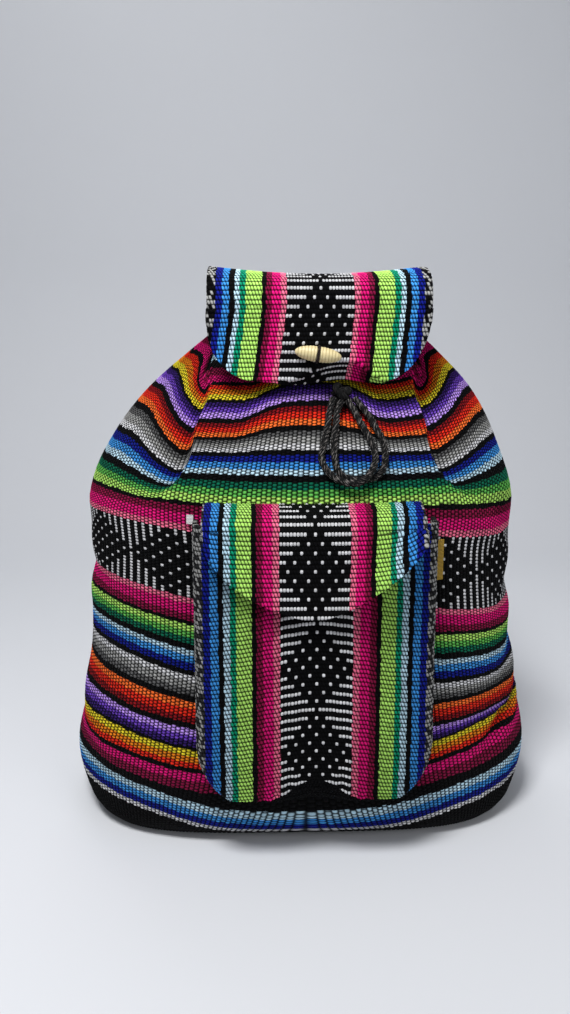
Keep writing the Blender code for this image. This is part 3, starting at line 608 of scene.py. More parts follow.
def make_floats_group():
    """The weave: floats like bricks over each rib, each with its own shade, the white floats of the
    brocade, the twist of the yarn and the cloth's wear, from coordinates in metres of cloth."""
    group, given, result = new_group("woven_floats", ("Along", "Across", "Slant"),
                                     ("Height", "Shade", "White", "Twist", "Wear"))
    along, across = given.outputs["Along"], given.outputs["Across"]
    column = calc(group, "DIVIDE", along, RIB_SPACING)
    column_id = calc(group, "FLOOR", column)
    odd = calc(group, "FLOORED_MODULO", column_id, 2.0)
    inside_x = calc(group, "SUBTRACT", calc(group, "FRACT", column), 0.5)
    yarn = calc(group, "ADD", calc(group, "DIVIDE", across, YARN_PITCH), 0.5)
    row = calc(group, "ADD", yarn, calc(group, "MULTIPLY", odd, 0.5))
    row = calc(group, "ADD", row, calc(group, "MULTIPLY", inside_x, given.outputs["Slant"]))
    row_id = calc(group, "FLOOR", row)
    inside_y = calc(group, "SUBTRACT", calc(group, "FRACT", row), 0.5)
    round_x = calc(group, "COSINE", calc(group, "MULTIPLY", inside_x, math.pi))
    round_y = calc(group, "COSINE", calc(group, "MULTIPLY", inside_y, math.pi))
    plain = calc(group, "MAXIMUM", calc(group, "MULTIPLY", round_x, round_y), 0.0)
    plain = calc(group, "POWER", plain, 0.6)
    chance = group.nodes.new("ShaderNodeTexWhiteNoise")
    chance.noise_dimensions = "2D"
    group.links.new(join(group, column_id, row_id), chance.inputs["Vector"])

    # The brocade repeats every ten pairs of ribs: white floats outside a diamond and white dots inside it
    end = calc(group, "FLOOR", yarn)
    repeat = calc(group, "FLOOR", calc(group, "DIVIDE", column_id, 2.0))
    repeat = calc(group, "FLOORED_MODULO", repeat, 10.0)
    order = calc(group, "SUBTRACT", 5.0, calc(group, "ABSOLUTE", calc(group, "SUBTRACT", repeat, 5.0)))
    away = calc(group, "ABSOLUTE", end)
    twice = calc(group, "MULTIPLY", order, 2.0)
    side = calc(group, "GREATER_THAN", away, calc(group, "ADD", twice, 0.5))
    dot_area = calc(group, "LESS_THAN", away, calc(group, "SUBTRACT", twice, 1.5))
    dot_phase = calc(group, "FLOORED_MODULO", calc(group, "ADD", calc(group, "ADD", end, twice), 2.0), 4.0)
    dot = calc(group, "MULTIPLY", dot_area, calc(group, "LESS_THAN", dot_phase, 0.5))
    white_here = calc(group, "MAXIMUM", side, dot)
    pair = calc(group, "FRACT", calc(group, "DIVIDE", column, 2.0))
    pair_x = calc(group, "ABSOLUTE", calc(group, "SUBTRACT", pair, 0.25))
    long_x = calc(group, "MINIMUM", calc(group, "MULTIPLY", pair_x, math.pi / FLOAT_SHARE), FLOAT_END)
    long_x = calc(group, "COSINE", long_x)
    own_y = calc(group, "SUBTRACT", calc(group, "FRACT", yarn), 0.5)
    thin_y = calc(group, "COSINE", calc(group, "MULTIPLY", own_y, math.pi))
    white_float = calc(group, "MAXIMUM", calc(group, "MULTIPLY", long_x, thin_y), 0.0)
    white = calc(group, "MULTIPLY", white_here, calc(group, "POWER", white_float, 0.5))
    twist = calc(group, "SINE", calc(group, "ADD", calc(group, "MULTIPLY", along, YARN_TWIST_ALONG),
                                     calc(group, "MULTIPLY", across, YARN_TWIST_ACROSS)))
    wear = noise(group, join(group, along, across), WEAR_SCALE, 3.0)
    for key, value in (("Height", plain), ("Shade", chance.outputs["Value"]), ("White", white),
                       ("Twist", twist), ("Wear", wear)):
        group.links.new(value, result.inputs[key])
    return group


def stripe_ramp(tree, distance, stripes, start):
    """A stepped colour ramp over the distance from start, in metres; stripes are in millimetres."""
    total = sum(width for _, width in stripes) / 1000
    share = calc(tree, "DIVIDE", calc(tree, "SUBTRACT", distance, start), total)
    ramp = tree.nodes.new("ShaderNodeValToRGB")
    ramp.color_ramp.interpolation = "CONSTANT"
    tree.links.new(share, ramp.inputs[0])
    place = 0.0
    for i, (colour, width) in enumerate(stripes):
        element = ramp.color_ramp.elements[0] if i == 0 else ramp.color_ramp.elements.new(place / total)
        element.position = place / total
        element.color = colour
        place += width / 1000
    return ramp.outputs[0]


def clear_spare_stop(tree):
    """Take out the white stop that each new ramp has at its end."""
    for node in tree.nodes:
        if node.type == "VALTORGB":
            last = node.color_ramp.elements[-1]
            if last.position > 0.9999 and tuple(last.color)[:3] == (1.0, 1.0, 1.0):
                node.color_ramp.elements.remove(last)


def ramp_value(tree, value, low, high):
    """0 below low, 1 above high, smooth between."""
    node = tree.nodes.new("ShaderNodeMapRange")
    node.interpolation_type = "SMOOTHSTEP"
    tree.links.new(value, node.inputs["Value"])
    node.inputs["From Min"].default_value = low
    node.inputs["From Max"].default_value = high
    return node.outputs["Result"]


def grey_colour(tree, value):
    """One value as all three channels of a colour."""
    node = tree.nodes.new("ShaderNodeCombineColor")
    for socket in node.inputs[:3]:
        tree.links.new(value, socket)
    return node.outputs[0]


FLOATS = make_floats_group()


def make_cloth(name, ramps, bump_floats=True, brocade=True, speckle=None, speckle_colours=(None, None),
               slant=0.0, painted_light_tone=1.0):
    """Woven cotton: stepped stripes, dark gaps between the floats, white brocade floats and a yarn twist.
    The gaps are partly the black weft and partly painted shade. ramps is a list of (stripes, start in metres
    from the centre line). Floats of two colours mix beyond speckle, slant leans the floats, and the last
    argument scales the whole cloth's brightness: above 1 as painted light, below 1 as painted shade."""
    made, tree, shader = new_material(name)
    _, along, across = weave_place(tree)
    floats = place_group(tree, FLOATS, along, across)
    floats.inputs["Slant"].default_value = slant
    height, shade = floats.outputs["Height"], floats.outputs["Shade"]
    wave = calc(tree, "MULTIPLY", calc(tree, "SUBTRACT", shade, 0.5), STRIPE_WANDER)
    distance = calc(tree, "ABSOLUTE", calc(tree, "ADD", across, wave))
    colour = stripe_ramp(tree, distance, *ramps[0])
    for stripes, start in ramps[1:]:
        further = stripe_ramp(tree, distance, stripes, start)
        colour = blend_colour(tree, calc(tree, "GREATER_THAN", distance, start), colour, further)
    clear_spare_stop(tree)
    if speckle:
        mixed = blend_colour(tree, calc(tree, "GREATER_THAN", shade, 0.45), *speckle_colours)
        colour = blend_colour(tree, calc(tree, "GREATER_THAN", distance, speckle), colour, mixed)
    if brocade:
        in_band = calc(tree, "LESS_THAN", distance, BROCADE_HALF)
        colour = blend_colour(tree, in_band, colour, BLACK)
    # Darker between the floats: partly the black weft showing, partly painted shade in the hollows of the
    # weave
    gap = ramp_value(tree, height, 0.26, 0.84)
    bright = calc(tree, "ADD", 0.82, calc(tree, "MULTIPLY", shade, 0.36))
    lit = calc(tree, "MULTIPLY", calc(tree, "ADD", 0.07, calc(tree, "MULTIPLY", gap, 0.93)), bright)
    # The noise of wear, times the last argument's scale of the whole cloth: painted light above 1, painted
    # shade below 1
    wear_and_painted_light = calc(tree, "MULTIPLY_ADD", floats.outputs["Wear"], 0.28 * painted_light_tone, 0.86 * painted_light_tone)
    colour = blend_colour(tree, 1.0, colour, grey_colour(tree, calc(tree, "MULTIPLY", lit, wear_and_painted_light)), "MULTIPLY")
    relief = height
    if brocade:
        show = calc(tree, "MULTIPLY", ramp_value(tree, floats.outputs["White"], 0.35, 0.62), in_band)
        uneven = calc(tree, "MULTIPLY", show, calc(tree, "MULTIPLY_ADD", shade, 0.28, 0.72))
        colour = blend_colour(tree, uneven, colour, WHITE)
        relief = calc(tree, "ADD", height, calc(tree, "MULTIPLY", show, 0.6))
    tree.links.new(colour, shader.inputs["Base Color"])
    fine = bump(tree, floats.outputs["Twist"], YARN_TWIST_RELIEF, 0.5)
    if bump_floats:
        fine = bump(tree, relief, FLOAT_RELIEF, 1.0, fine)
    tree.links.new(fine, shader.inputs["Normal"])
    shader.inputs["Roughness"].default_value = 0.82
    shader.inputs["Specular IOR Level"].default_value = 0.06
    shader.inputs["Sheen Weight"].default_value = 0.01
    shader.inputs["Sheen Roughness"].default_value = 0.5
    return made


near_width = sum(width for _, width in BODY_STRIPES_NEAR) / 1000
body_cloth = make_cloth("body_weave", [(BODY_STRIPES_NEAR, BROCADE_HALF),
                                       (BODY_STRIPES_FAR, BROCADE_HALF + near_width)])
columns = BODY_RIBS * SAMPLES_PER_RIB
round_places = (np.arange(columns) / columns - 0.5) * 2 * HALF_GIRTH
up_places = np.linspace(HEIGHT_LENGTHS[0], HEIGHT_LENGTHS[-1], BODY_ROWS + 1)
grid_round, grid_up = np.meshgrid(round_places, up_places)
outer = body_surface(grid_round, grid_up)
lining = np.s_[::LINING_ROW_STEP, ::LINING_COLUMN_STEP]
inner = body_surface(grid_round[lining], grid_up[lining], CLOTH, ribbed=False)
places = np.stack((grid_round * RIB_SPACING / BODY_RIB_SPACING, grid_up), -1)
body = add_piece("body_tube", cloth_shell("body_tube", outer, inner, places, wrap=True), body_cloth)
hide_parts("body")

# The pocket is a boxed patch of the same cloth with its stripes upright, sewn to the body's front.
# Its lower corners are round, and its lower edge is drawn up in the middle over a black gusset.
GAP = 0.0003
POCKET_CLOTH = 0.0025
POCKET_X = 0.005
POCKET_WIDTH = 0.156
POCKET_BOTTOM = 0.118 * RIM_HEIGHT
POCKET_TOP = 0.611 * RIM_HEIGHT
POCKET_DEPTH = 0.018
POCKET_EDGE = 0.0060
POCKET_CORNER_WIDTH = 0.034
POCKET_CORNER_HEIGHT = 0.042
POCKET_ROUND = 0.005
POCKET_ARCH = 0.019
POCKET_ARCH_WIDTH = 0.020
# The arch's thread puckers the cloth on both sides of it; the front bulges and sags a little
PUCKER_DEPTH, PUCKER_PITCH = 0.0022, 0.0085
PUCKER_X, PUCKER_SPREAD, PUCKER_HEIGHT = 0.026, 0.016, 0.016
POCKET_BULGE = 0.0012
POCKET_SAG = 0.0008
POCKET_FOOT_ROWS = 30
POCKET_FRONT_ROWS = 250
POCKET_COLUMNS = 320
POCKET_LINING_STEP = 10
GUSSET_ROWS = 28
SLANT = 0.45
FLOAT_HIGH = 1.25
SMOKE, TEAL = srgb(44, 44, 46), srgb(8, 138, 102)
PANEL_STRIPES = (
    (SALMON, 4.0), (HOT_PINK, 6.5), (MAROON, 4.0), (BLACK, 3.2), (LIME, 9.8), (TEAL, 3.7), (PALE, 4.5),
    (BLACK, 3.2), (LIGHT_BLUE, 5.1), (NAVY, 4.8), (GREY, 60.0),
)
PANEL_SPECKLE = BROCADE_HALF + sum(width for _, width in PANEL_STRIPES[:-1]) / 1000


def float_height(along, across, brocade=BROCADE_HALF):
    """The same floats as in the shader group, as a height from 0 to 1, and a little more on white ones."""
    column = along / RIB_SPACING
    column_id = np.floor(column)
    inside_x = column - column_id - 0.5
    yarn = across / YARN_PITCH + 0.5
    row = yarn + 0.5 * (column_id % 2) + SLANT * inside_x
    inside_y = row - np.floor(row) - 0.5
    plain = np.clip(np.cos(math.pi * inside_x) * np.cos(math.pi * inside_y), 0, 1) ** 0.6
    end = np.floor(yarn)
    order = 5 - np.abs(np.floor(column_id / 2) % 10 - 5)
    dot = (np.abs(end) < 2 * order - 1.5) & ((end + 2 * order + 2) % 4 < 0.5)
    white = (np.abs(end) > 2 * order + 0.5) | dot
    pair = np.abs(column / 2 - np.floor(column / 2) - 0.25)
    long_x = np.cos(np.minimum(pair * math.pi / FLOAT_SHARE, FLOAT_END))
    thin_y = np.cos(math.pi * (yarn - end - 0.5))
    raised = FLOAT_HIGH * np.clip(long_x * thin_y, 0, 1) ** 0.5
    return np.where(white & (np.abs(across) < brocade), np.maximum(0.6 * plain, raised), plain)


def grid_normals(points):
    """Unit normals of a grid of points."""
    down = np.gradient(points, axis=0)
    across = np.gradient(points, axis=1)
    normal = np.cross(across, down)
    return normal / np.maximum(np.linalg.norm(normal, axis=2), 1e-12)[..., None]


def arc_lengths(points, axis):
    """Lengths along a grid's rows or columns, from its first point."""
    steps = np.linalg.norm(np.diff(points, axis=axis), axis=2)
    start = np.zeros_like(np.take(steps, [0], axis))
    return np.concatenate((start, np.cumsum(steps, axis)), axis)


def pocket_surface(column, row, wall):
    """The pocket's shell, wall deep inside its outer face. column runs from -1 to 1 round the box,
    row from 0 at the foot's seam over 1 at the front's lower edge to 2 at the top."""
    column, row = np.broadcast_arrays(column, row)
    depth = POCKET_DEPTH - wall
    start = POCKET_BOTTOM + wall
    edge = POCKET_EDGE - wall
    guess = np.clip(np.abs(column) * 1.12, 0, 1) * POCKET_WIDTH / 2
    arch = POCKET_ARCH * np.exp(-(guess / POCKET_ARCH_WIDTH) ** 2)
    front_foot = start + POCKET_ROUND + arch
    turn = np.clip(row, 0, 1) * math.pi / 2
    height = np.where(row < 1, start + (front_foot - start) * (1 - np.cos(turn)),
                      front_foot + (POCKET_TOP - front_foot) * (row - 1))
    swell = np.sin(turn) ** 0.8
    low = np.clip((height - start) / POCKET_CORNER_HEIGHT, 0, 1)
    half = POCKET_WIDTH / 2 - wall - POCKET_CORNER_WIDTH * (1 - np.sqrt(1 - (1 - low) ** 2))
    flat, bend, side = half - edge, edge * math.pi / 2, depth - edge
    place = np.abs(column) * (flat + bend + side)
    on_bend = np.clip((place - flat) / edge, 0, math.pi / 2)
    x = np.minimum(place, flat) + edge * np.sin(on_bend)
    out = depth - edge * (1 - np.cos(on_bend)) - np.maximum(place - flat - bend, 0)
    above = np.maximum(row - 1, 0) * (POCKET_TOP - POCKET_BOTTOM)
    pucker = np.clip(row * 2 - 1, 0, 1) * np.clip(1 - np.abs(column) * 0.9, 0, 1)
    pucker = pucker * np.exp(-above / PUCKER_HEIGHT)
    near_arch = np.exp(-((np.abs(x) - PUCKER_X) / PUCKER_SPREAD) ** 2)
    out = out - pucker * PUCKER_DEPTH * near_arch * (0.5 + 0.5 * np.cos(2 * math.pi * x / PUCKER_PITCH))
    bulge = POCKET_BULGE * np.cos(np.clip(x / half, -1, 1) * math.pi / 2) * np.clip(row - 1, 0, 1)
    sag = POCKET_SAG * np.sin(34 * x * np.sign(column) + 21 * height) * np.clip(row - 1, 0, 1)
    out = (out + np.where(place < flat, bulge + sag, 0)) * swell
    x = POCKET_X + np.sign(column) * x
    return np.stack((x, body_front(x, height) - RIB - GAP - np.maximum(out, 0), height), -1), place


def panel_grid():
    """Rows and columns of the pocket's fine grid."""
    rows = np.concatenate((np.linspace(0, 1, POCKET_FOOT_ROWS, endpoint=False),
                           np.linspace(1, 2, POCKET_FRONT_ROWS + 1)))
    return np.meshgrid(np.linspace(-1, 1, POCKET_COLUMNS + 1), rows)


def add_relief(points, places):
    """Raise the floats out of a fine grid of cloth."""
    lift = (float_height(places[..., 0], places[..., 1]) - 0.5) * FLOAT_RELIEF
    return points + grid_normals(points) * lift[..., None]


def make_plain_cloth(name, colour):
    """Woven cotton of one colour, with its floats as relief and painted shade between them."""
    made, tree, shader = new_material(name)
    _, along, across = weave_place(tree)
    floats = place_group(tree, FLOATS, along, across)
    # Painted shade: the cloth is darker between the floats, where shade falls in the weave
    lit = calc(tree, "MULTIPLY", calc(tree, "MULTIPLY_ADD", floats.outputs["Height"], 0.65, 0.35),
               calc(tree, "MULTIPLY_ADD", floats.outputs["Shade"], 0.5, 0.8))
    shown = blend_colour(tree, 1.0, colour, grey_colour(tree, lit), "MULTIPLY")
    tree.links.new(shown, shader.inputs["Base Color"])
    tree.links.new(bump(tree, floats.outputs["Height"], 0.0007), shader.inputs["Normal"])
    shader.inputs["Roughness"].default_value = 0.85
    shader.inputs["Specular IOR Level"].default_value = 0.06
    return made


panel_columns, panel_rows = panel_grid()
outer, arc = pocket_surface(panel_columns, panel_rows, 0.0)
lining = np.s_[::POCKET_LINING_STEP, ::POCKET_LINING_STEP]
inner, _ = pocket_surface(panel_columns[lining], panel_rows[lining], POCKET_CLOTH)
along = arc_lengths(outer, 0)
along = along + (POCKET_TOP - along[-1, POCKET_COLUMNS // 2])
panel_places = np.stack((along, np.sign(panel_columns) * arc), -1)
# The pocket's cloth is darkened as a whole (0.80): painted shade for the weaker light on its upright face
# below the lids
panel_cloth = make_cloth("panel_weave", [(PANEL_STRIPES, BROCADE_HALF)], bump_floats=False,
                         speckle=PANEL_SPECKLE, speckle_colours=(SMOKE, GREY), slant=SLANT, painted_light_tone=0.80)
outer = add_relief(outer, panel_places)
pocket = add_piece("front_pocket", cloth_shell("front_pocket", outer, inner, panel_places), panel_cloth)
black_cloth = make_plain_cloth("black_weave", BLACK)
pocket.data.materials.append(black_cloth)
slots = np.zeros(len(pocket.data.polygons), int)
slots[:GUSSET_ROWS * POCKET_COLUMNS] = 1
pocket.data.polygons.foreach_set("material_index", slots)
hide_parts("pocket")

# The pocket's flap is one patch of the same cloth, sewn to the body above the pocket. It bends over
# the pocket's top and hangs down to a rounded tip. Its hem curls outward, most of all on the right.
POCKET_FLAP_WIDTH, POCKET_FLAP_X = 0.140, 0.0034
# Its stripes are a little closer than the panel's, and lean inward as they go down on the right
POCKET_FLAP_PULL, POCKET_FLAP_LEAN, POCKET_FLAP_RUN = 1.045, 0.10, 0.0100
CURL_HEM, CURL_RIGHT, CURL_LEFT = 0.0036, 0.0095, 0.0030
CURL_HEIGHT, CURL_LIFT, CURL_SHIFT = 0.016, 0.0050, 0.0010
POCKET_FLAP_WAVE = 0.0006
POCKET_FLAP_LEFT_ROUND, POCKET_FLAP_RIGHT_ROUND = 1.65, 1.5
POCKET_FLAP_SEAM = 0.636 * RIM_HEIGHT
POCKET_FLAP_DROP = 0.013
POCKET_FLAP_TIP = 0.466 * RIM_HEIGHT
POCKET_FLAP_STAND = 0.0016
POCKET_FLAP_EDGE = 0.002
POCKET_FLAP_BEND_ROWS = 24
POCKET_FLAP_FACE_ROWS = 84
POCKET_FLAP_COLUMNS = 260
FLAP_LINING_STEP = 4


def pocket_flap_surface(across, row):
    """The middle of the flap's cloth; row runs from 0 at the seam over 1 at the bend to 2 at the edge."""
    share = np.abs(across) / (POCKET_WIDTH / 2 + POCKET_CLOTH)
    full = POCKET_DEPTH + RIB + GAP + POCKET_CLOTH / 2 + POCKET_FLAP_STAND
    out = full * (1 - share**9) ** (1 / 9)
    shoulder = POCKET_FLAP_SEAM - POCKET_FLAP_DROP
    turn = np.clip(row, 0, 1) * math.pi / 2
    side = np.clip(across / (POCKET_FLAP_WIDTH / 2), -1, 1)
    side_tip = shoulder - POCKET_FLAP_EDGE
    power = np.where(side < 0, POCKET_FLAP_LEFT_ROUND, POCKET_FLAP_RIGHT_ROUND)
    round_share = (1 - np.abs(side) ** power) ** (1 / power)
    tip = side_tip - (side_tip - POCKET_FLAP_TIP) * round_share
    down = np.maximum(row - 1, 0)
    height = np.where(row < 1, POCKET_FLAP_SEAM - POCKET_FLAP_DROP * (1 - np.cos(turn)),
                      shoulder + (tip - shoulder) * down)
    out = out * np.sin(turn)
    to_edge = (height - tip) / CURL_HEIGHT
    edge_curl = np.exp(-np.maximum(to_edge, 0) ** 1.5) * np.where(row > 1, 1.0, 0.0)
    right_curl = smooth_step(side, 0.25, 0.62) * (1 - smooth_step(side, 0.94, 1.0))
    left_curl = 0.25 * (1 - smooth_step(side, -0.6, -0.3)) * smooth_step(side, -0.98, -0.85)
    wave = POCKET_FLAP_WAVE * np.sin(side * 5.0 + 1.0) * down
    out = out + edge_curl * (CURL_RIGHT * right_curl + CURL_LEFT * left_curl + CURL_HEM) + wave
    x = POCKET_FLAP_X + across + CURL_SHIFT * edge_curl * right_curl
    height = height + CURL_LIFT * edge_curl * right_curl
    start = RIB + GAP + POCKET_CLOTH / 2
    return np.stack((x, body_front(x, height) - start - out, height), -1)


flap_rows = np.concatenate((np.linspace(0, 1, POCKET_FLAP_BEND_ROWS, endpoint=False),
                            np.linspace(1, 2, POCKET_FLAP_FACE_ROWS + 1)))
# The rows run from the hanging edge up, so that the cloth's outer side faces out
flap_across, flap_rows = np.meshgrid(np.linspace(-1, 1, POCKET_FLAP_COLUMNS + 1) * POCKET_FLAP_WIDTH / 2,
                                     flap_rows[::-1])
middle = pocket_flap_surface(flap_across, flap_rows)
facing = grid_normals(middle)
along = arc_lengths(middle, 0)
along = along + (POCKET_FLAP_SEAM + POCKET_FLAP_RUN - along[-1:, :])
lean = POCKET_FLAP_LEAN * smooth_step(flap_across, 0.010, 0.056) * np.maximum(POCKET_FLAP_SEAM - along, 0)
flap_places = np.stack((along, flap_across * POCKET_FLAP_PULL + lean), -1)
outer = add_relief(middle + facing * POCKET_CLOTH / 2, flap_places)
inner = (middle - facing * POCKET_CLOTH / 2)[::FLAP_LINING_STEP, ::FLAP_LINING_STEP]
flap_cloth = make_cloth("pocket_lid_weave", [(PANEL_STRIPES, BROCADE_HALF)], bump_floats=False,
                        speckle=PANEL_SPECKLE, speckle_colours=(SMOKE, GREY), slant=SLANT)
pocket_flap = add_piece("pocket_lid", cloth_shell("pocket_lid", outer, inner, flap_places), flap_cloth)
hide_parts("pocket_flap")

# The lid is one long patch of the same cloth. It is sewn to the back below the neck, bends over the
# mouth and hangs in front, where the knot of the drawstring lifts and curls the middle of its edge.
FLAP_WIDTH = 0.146
FLAP_FRONT_Y = -0.064
FLAP_SPRING = 0.958 * RIM_HEIGHT
FLAP_TOP = 1.034 * RIM_HEIGHT
FLAP_SEAM = 0.8665 * RIM_HEIGHT
FLAP_CORNER_WIDTH = 0.028
FLAP_CORNER_HEIGHT = 0.028
FLAP_DROOP, FLAP_RIGHT_RISE = 0.007, 0.35
FLAP_SAG = 0.0055
FLAP_BILLOW, FLAP_RIPPLE = 0.0016, 0.0007
FLAP_HEM_CURL, FLAP_SIDE_CURL = 0.0012, 0.0030
FLAP_LIFT = 0.002
TUCK_HEIGHT, TUCK_DEPTH, TUCK_RIDGE = 0.0138, 0.0080, 0.0028
# The cloth is pulled a little narrower than the pocket's, hangs a little askew and fans out downward
LID_SHIFT, LID_SHEAR, LID_FAN, LID_PULL = -0.0003, 0.11, 0.05, 1.055
LID_RUN = 6 * RIB_SPACING
FLAP_COLUMNS = 264
FLAP_FRONT_ROWS, FLAP_ARCH_ROWS, FLAP_BACK_ROWS = 76, 216, 48
KNOT_X = 0.024
TOGGLE_X = 0.0075
TOGGLE_Z = 0.882 * RIM_HEIGHT
LID_STRIPES = (
    (SALMON, 3.5), (HOT_PINK, 5.8), (MAROON, 3.8), (BLACK, 3.3), (LIME, 10.8), (TEAL, 4.4), (PALE, 3.3),
    (BLACK, 3.6), (LIGHT_BLUE, 4.8), (NAVY, 4.8), (GREY, 60.0),
)
LID_SPECKLE = BROCADE_HALF + sum(width for _, width in LID_STRIPES[:-1]) / 1000


def body_back(x, height):
    """Y of the body's back at places seen from behind."""
    half, _, back, power = body_section(height)
    share = np.minimum(np.abs(x - body_lean(height)) / half, 1.0)
    return back * (1 - share**power) ** (1 / power)


def lid_surface(across, row):
    """The middle of the lid's cloth; row runs from 0 at the hanging edge over 1 and 2 at the two ends
    of its bend to 3 at the seam."""
    half = FLAP_WIDTH / 2
    over = np.maximum(np.abs(across) - (half - FLAP_CORNER_WIDTH), 0) / FLAP_CORNER_WIDTH
    corner = FLAP_CORNER_HEIGHT * (1 - np.sqrt(1 - np.minimum(over, 1) ** 2))
    rise = FLAP_DROOP * (np.abs(across) / half) ** 3 + corner
    rise = rise * (1 + FLAP_RIGHT_RISE * smooth_step(across, 0.02, half))
    beside = across + NECK_LEAN - KNOT_X
    lift = FLAP_LIFT * np.exp(-(beside / np.where(beside > 0, 0.013, 0.016)) ** 2)
    low = FLAP_BOTTOM + rise + lift
    back = float(body_back(float(body_lean(FLAP_SEAM)), FLAP_SEAM)) + RIB + GAP + CLOTH / 2
    front = low + (FLAP_SPRING - low) * np.clip(row, 0, 1)
    turn = math.pi * np.clip(row - 1, 0, 1)
    reach = (back - FLAP_FRONT_Y) / 2
    cosine = np.cos(turn)
    sag = FLAP_SAG * np.cos(math.pi / 2 * across / half) * np.sin(turn) ** 2
    y = FLAP_FRONT_Y + reach - reach * np.sign(cosine) * np.abs(cosine) ** 0.6
    arch = FLAP_SPRING + (FLAP_TOP - CLOTH / 2 - FLAP_SPRING) * np.sin(turn) ** 0.62 - sag
    down = FLAP_SPRING - (FLAP_SPRING - FLAP_SEAM) * np.clip(row - 2, 0, 1)
    z = np.where(row < 1, front, np.where(row < 2, arch, down))
    to_edge = np.where(row < 1, (z - low) / 0.012, 9.0)
    curl = np.exp(-to_edge**1.6)
    hang = np.clip(1 - np.maximum(row - 1, 0) * 3, 0, 1)
    # Over the knot the hem is tucked in below a ridge that climbs from left to right
    x = across + NECK_LEAN
    tent = smooth_step(x, -0.021, 0.022) * (1 - smooth_step(x, 0.027, 0.056))
    below = low + TUCK_HEIGHT * tent - z
    tucked = np.where(row < 1, np.maximum(below, 0), 0)
    ridge = tent * hang * np.exp(-(below / 0.007) ** 2)
    y = y + TUCK_DEPTH * (1 - np.exp(-tucked / 0.0045)) - TUCK_RIDGE * ridge
    y = y - FLAP_HEM_CURL * curl * (1 - tent)
    ripple = np.sin(95 * across + 60 * z)
    y = y - hang * (FLAP_BILLOW * np.cos(math.pi * across / half) + FLAP_RIPPLE * ripple)
    edge_side = np.exp(-(half - np.abs(across)) / 0.010)
    y = y + FLAP_SIDE_CURL * edge_side * hang * smooth_step(FLAP_SPRING - z, 0.0, 0.03)
    return np.stack((across + NECK_LEAN, y, z), -1), low, lift


lid_rows = np.concatenate((np.linspace(0, 1, FLAP_FRONT_ROWS, endpoint=False),
                           np.linspace(1, 2, FLAP_ARCH_ROWS, endpoint=False),
                           np.linspace(2, 3, FLAP_BACK_ROWS + 1)))
lid_across, lid_rows = np.meshgrid(np.linspace(-1, 1, FLAP_COLUMNS + 1) * FLAP_WIDTH / 2, lid_rows)
middle, edge, lift = lid_surface(lid_across, lid_rows)
facing = grid_normals(middle)
spring = FLAP_FRONT_ROWS
along = arc_lengths(middle, 0)
along = along - along[spring:spring + 1] + FLAP_SPRING
along = along - lift * np.exp(-np.maximum(along - edge, 0) / 0.012)
askew = (LID_SHEAR - LID_FAN * lid_across / (FLAP_WIDTH / 2)) * np.maximum(FLAP_SPRING - along, 0)
lid_places = np.stack((along + LID_RUN, (lid_across + LID_SHIFT + askew) * LID_PULL), -1)
outer = add_relief(middle + facing * CLOTH / 2, lid_places)
inner = (middle - facing * CLOTH / 2)[::FLAP_LINING_STEP, ::FLAP_LINING_STEP]
# The lid's cloth is brightened as a whole (1.22): painted light, where the light from above falls on it
lid_cloth = make_cloth("lid_weave", [(LID_STRIPES, BROCADE_HALF)], bump_floats=False, speckle=LID_SPECKLE,
                       speckle_colours=(BLACK, GREY), slant=SLANT, painted_light_tone=1.22)
lid = add_piece("lid", cloth_shell("lid", outer, inner, lid_places), lid_cloth)
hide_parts("flap")
lid_lengths = arc_lengths(middle, 0)[-1]

# The knot of the bow: the cord is wound twice round its own bight, tight against the cloth under the
# lid. The rest of the cord runs round the neck, where it is threaded over the gathers.
KNOT_RADIUS = 0.0050
KNOT_BELOW_FLAP = 0.0068
KNOT_WINDINGS = 2.6
KNOT_WIDTH, KNOT_DEPTH, KNOT_HEIGHT = 0.0084, 0.0034, 0.0036
KNOT_STRAY = 0.0012
knot_z = FLAP_BOTTOM - KNOT_BELOW_FLAP
knot_place = np.array((KNOT_X, float(body_front(KNOT_X, knot_z)) - RIB - KNOT_RADIUS * 1.2, knot_z))
turns = np.linspace(0, 1, 120)
winding = 2 * math.pi * KNOT_WINDINGS * turns - 0.6
reach = KNOT_HEIGHT + KNOT_STRAY * np.sin(2 * math.pi * turns)
knot_route = np.stack((
    KNOT_WIDTH * (turns - 0.5) + 0.0016 * np.sin(winding * 2),
    KNOT_DEPTH * np.cos(winding),
    reach * np.sin(winding) + KNOT_STRAY * np.cos(5 * turns),
), 1) + knot_place
# The knot's cord is darker than the rest of the drawstring: painted shade, for the shadow under the lid
shaded_knot_material = make_rope_material("knot_cotton_painted_shade", srgb(6, 6, 7), srgb(40, 38, 37))
knot = add_piece("bow_knot_rope", rope_mesh("bow_knot_rope", knot_route, CORD_DIAMETER / 2 * 0.95),
                 shaded_knot_material)
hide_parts("bow_knot")
around = np.linspace(-math.pi, math.pi, 260, endpoint=False)
half, front, back, power = (float(value) for value in body_section(NECK))
x, y, normal_x, normal_y = ellipse_points(around, half, front, back, power)
stand = CORD_DIAMETER / 2 + RIB + 3 * GAP
neck_route = np.stack((x + normal_x * stand + float(body_lean(NECK)), y + normal_y * stand,
                       np.full_like(x, NECK)), 1)
neck_mesh = rope_mesh("neck_cord_rope", neck_route, CORD_DIAMETER / 2, closed=True, sides=14)
neck = add_piece("neck_cord_rope", neck_mesh, rope_material)
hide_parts("neck_cord")

# The toggle is a spindle of pale wood, turned with fine rings and with a deeper groove round its
# middle. A black thread lies in the groove and goes back through the lid's buttonhole.
TOGGLE_LENGTH = 0.030
TOGGLE_RADIUS = 0.0050
TOGGLE_GROOVE = 0.0024
TOGGLE_TILT = math.radians(8)
TOGGLE_STAND = 0.0006
GROOVE_DEPTH = 0.0011
RING_DEPTH, RING_PITCH = 0.00016, 0.0021
THREAD_RADIUS = 0.0009
THREAD_TAIL = 0.003
TOGGLE_SIDES = 48
TOGGLE_RINGS = 141


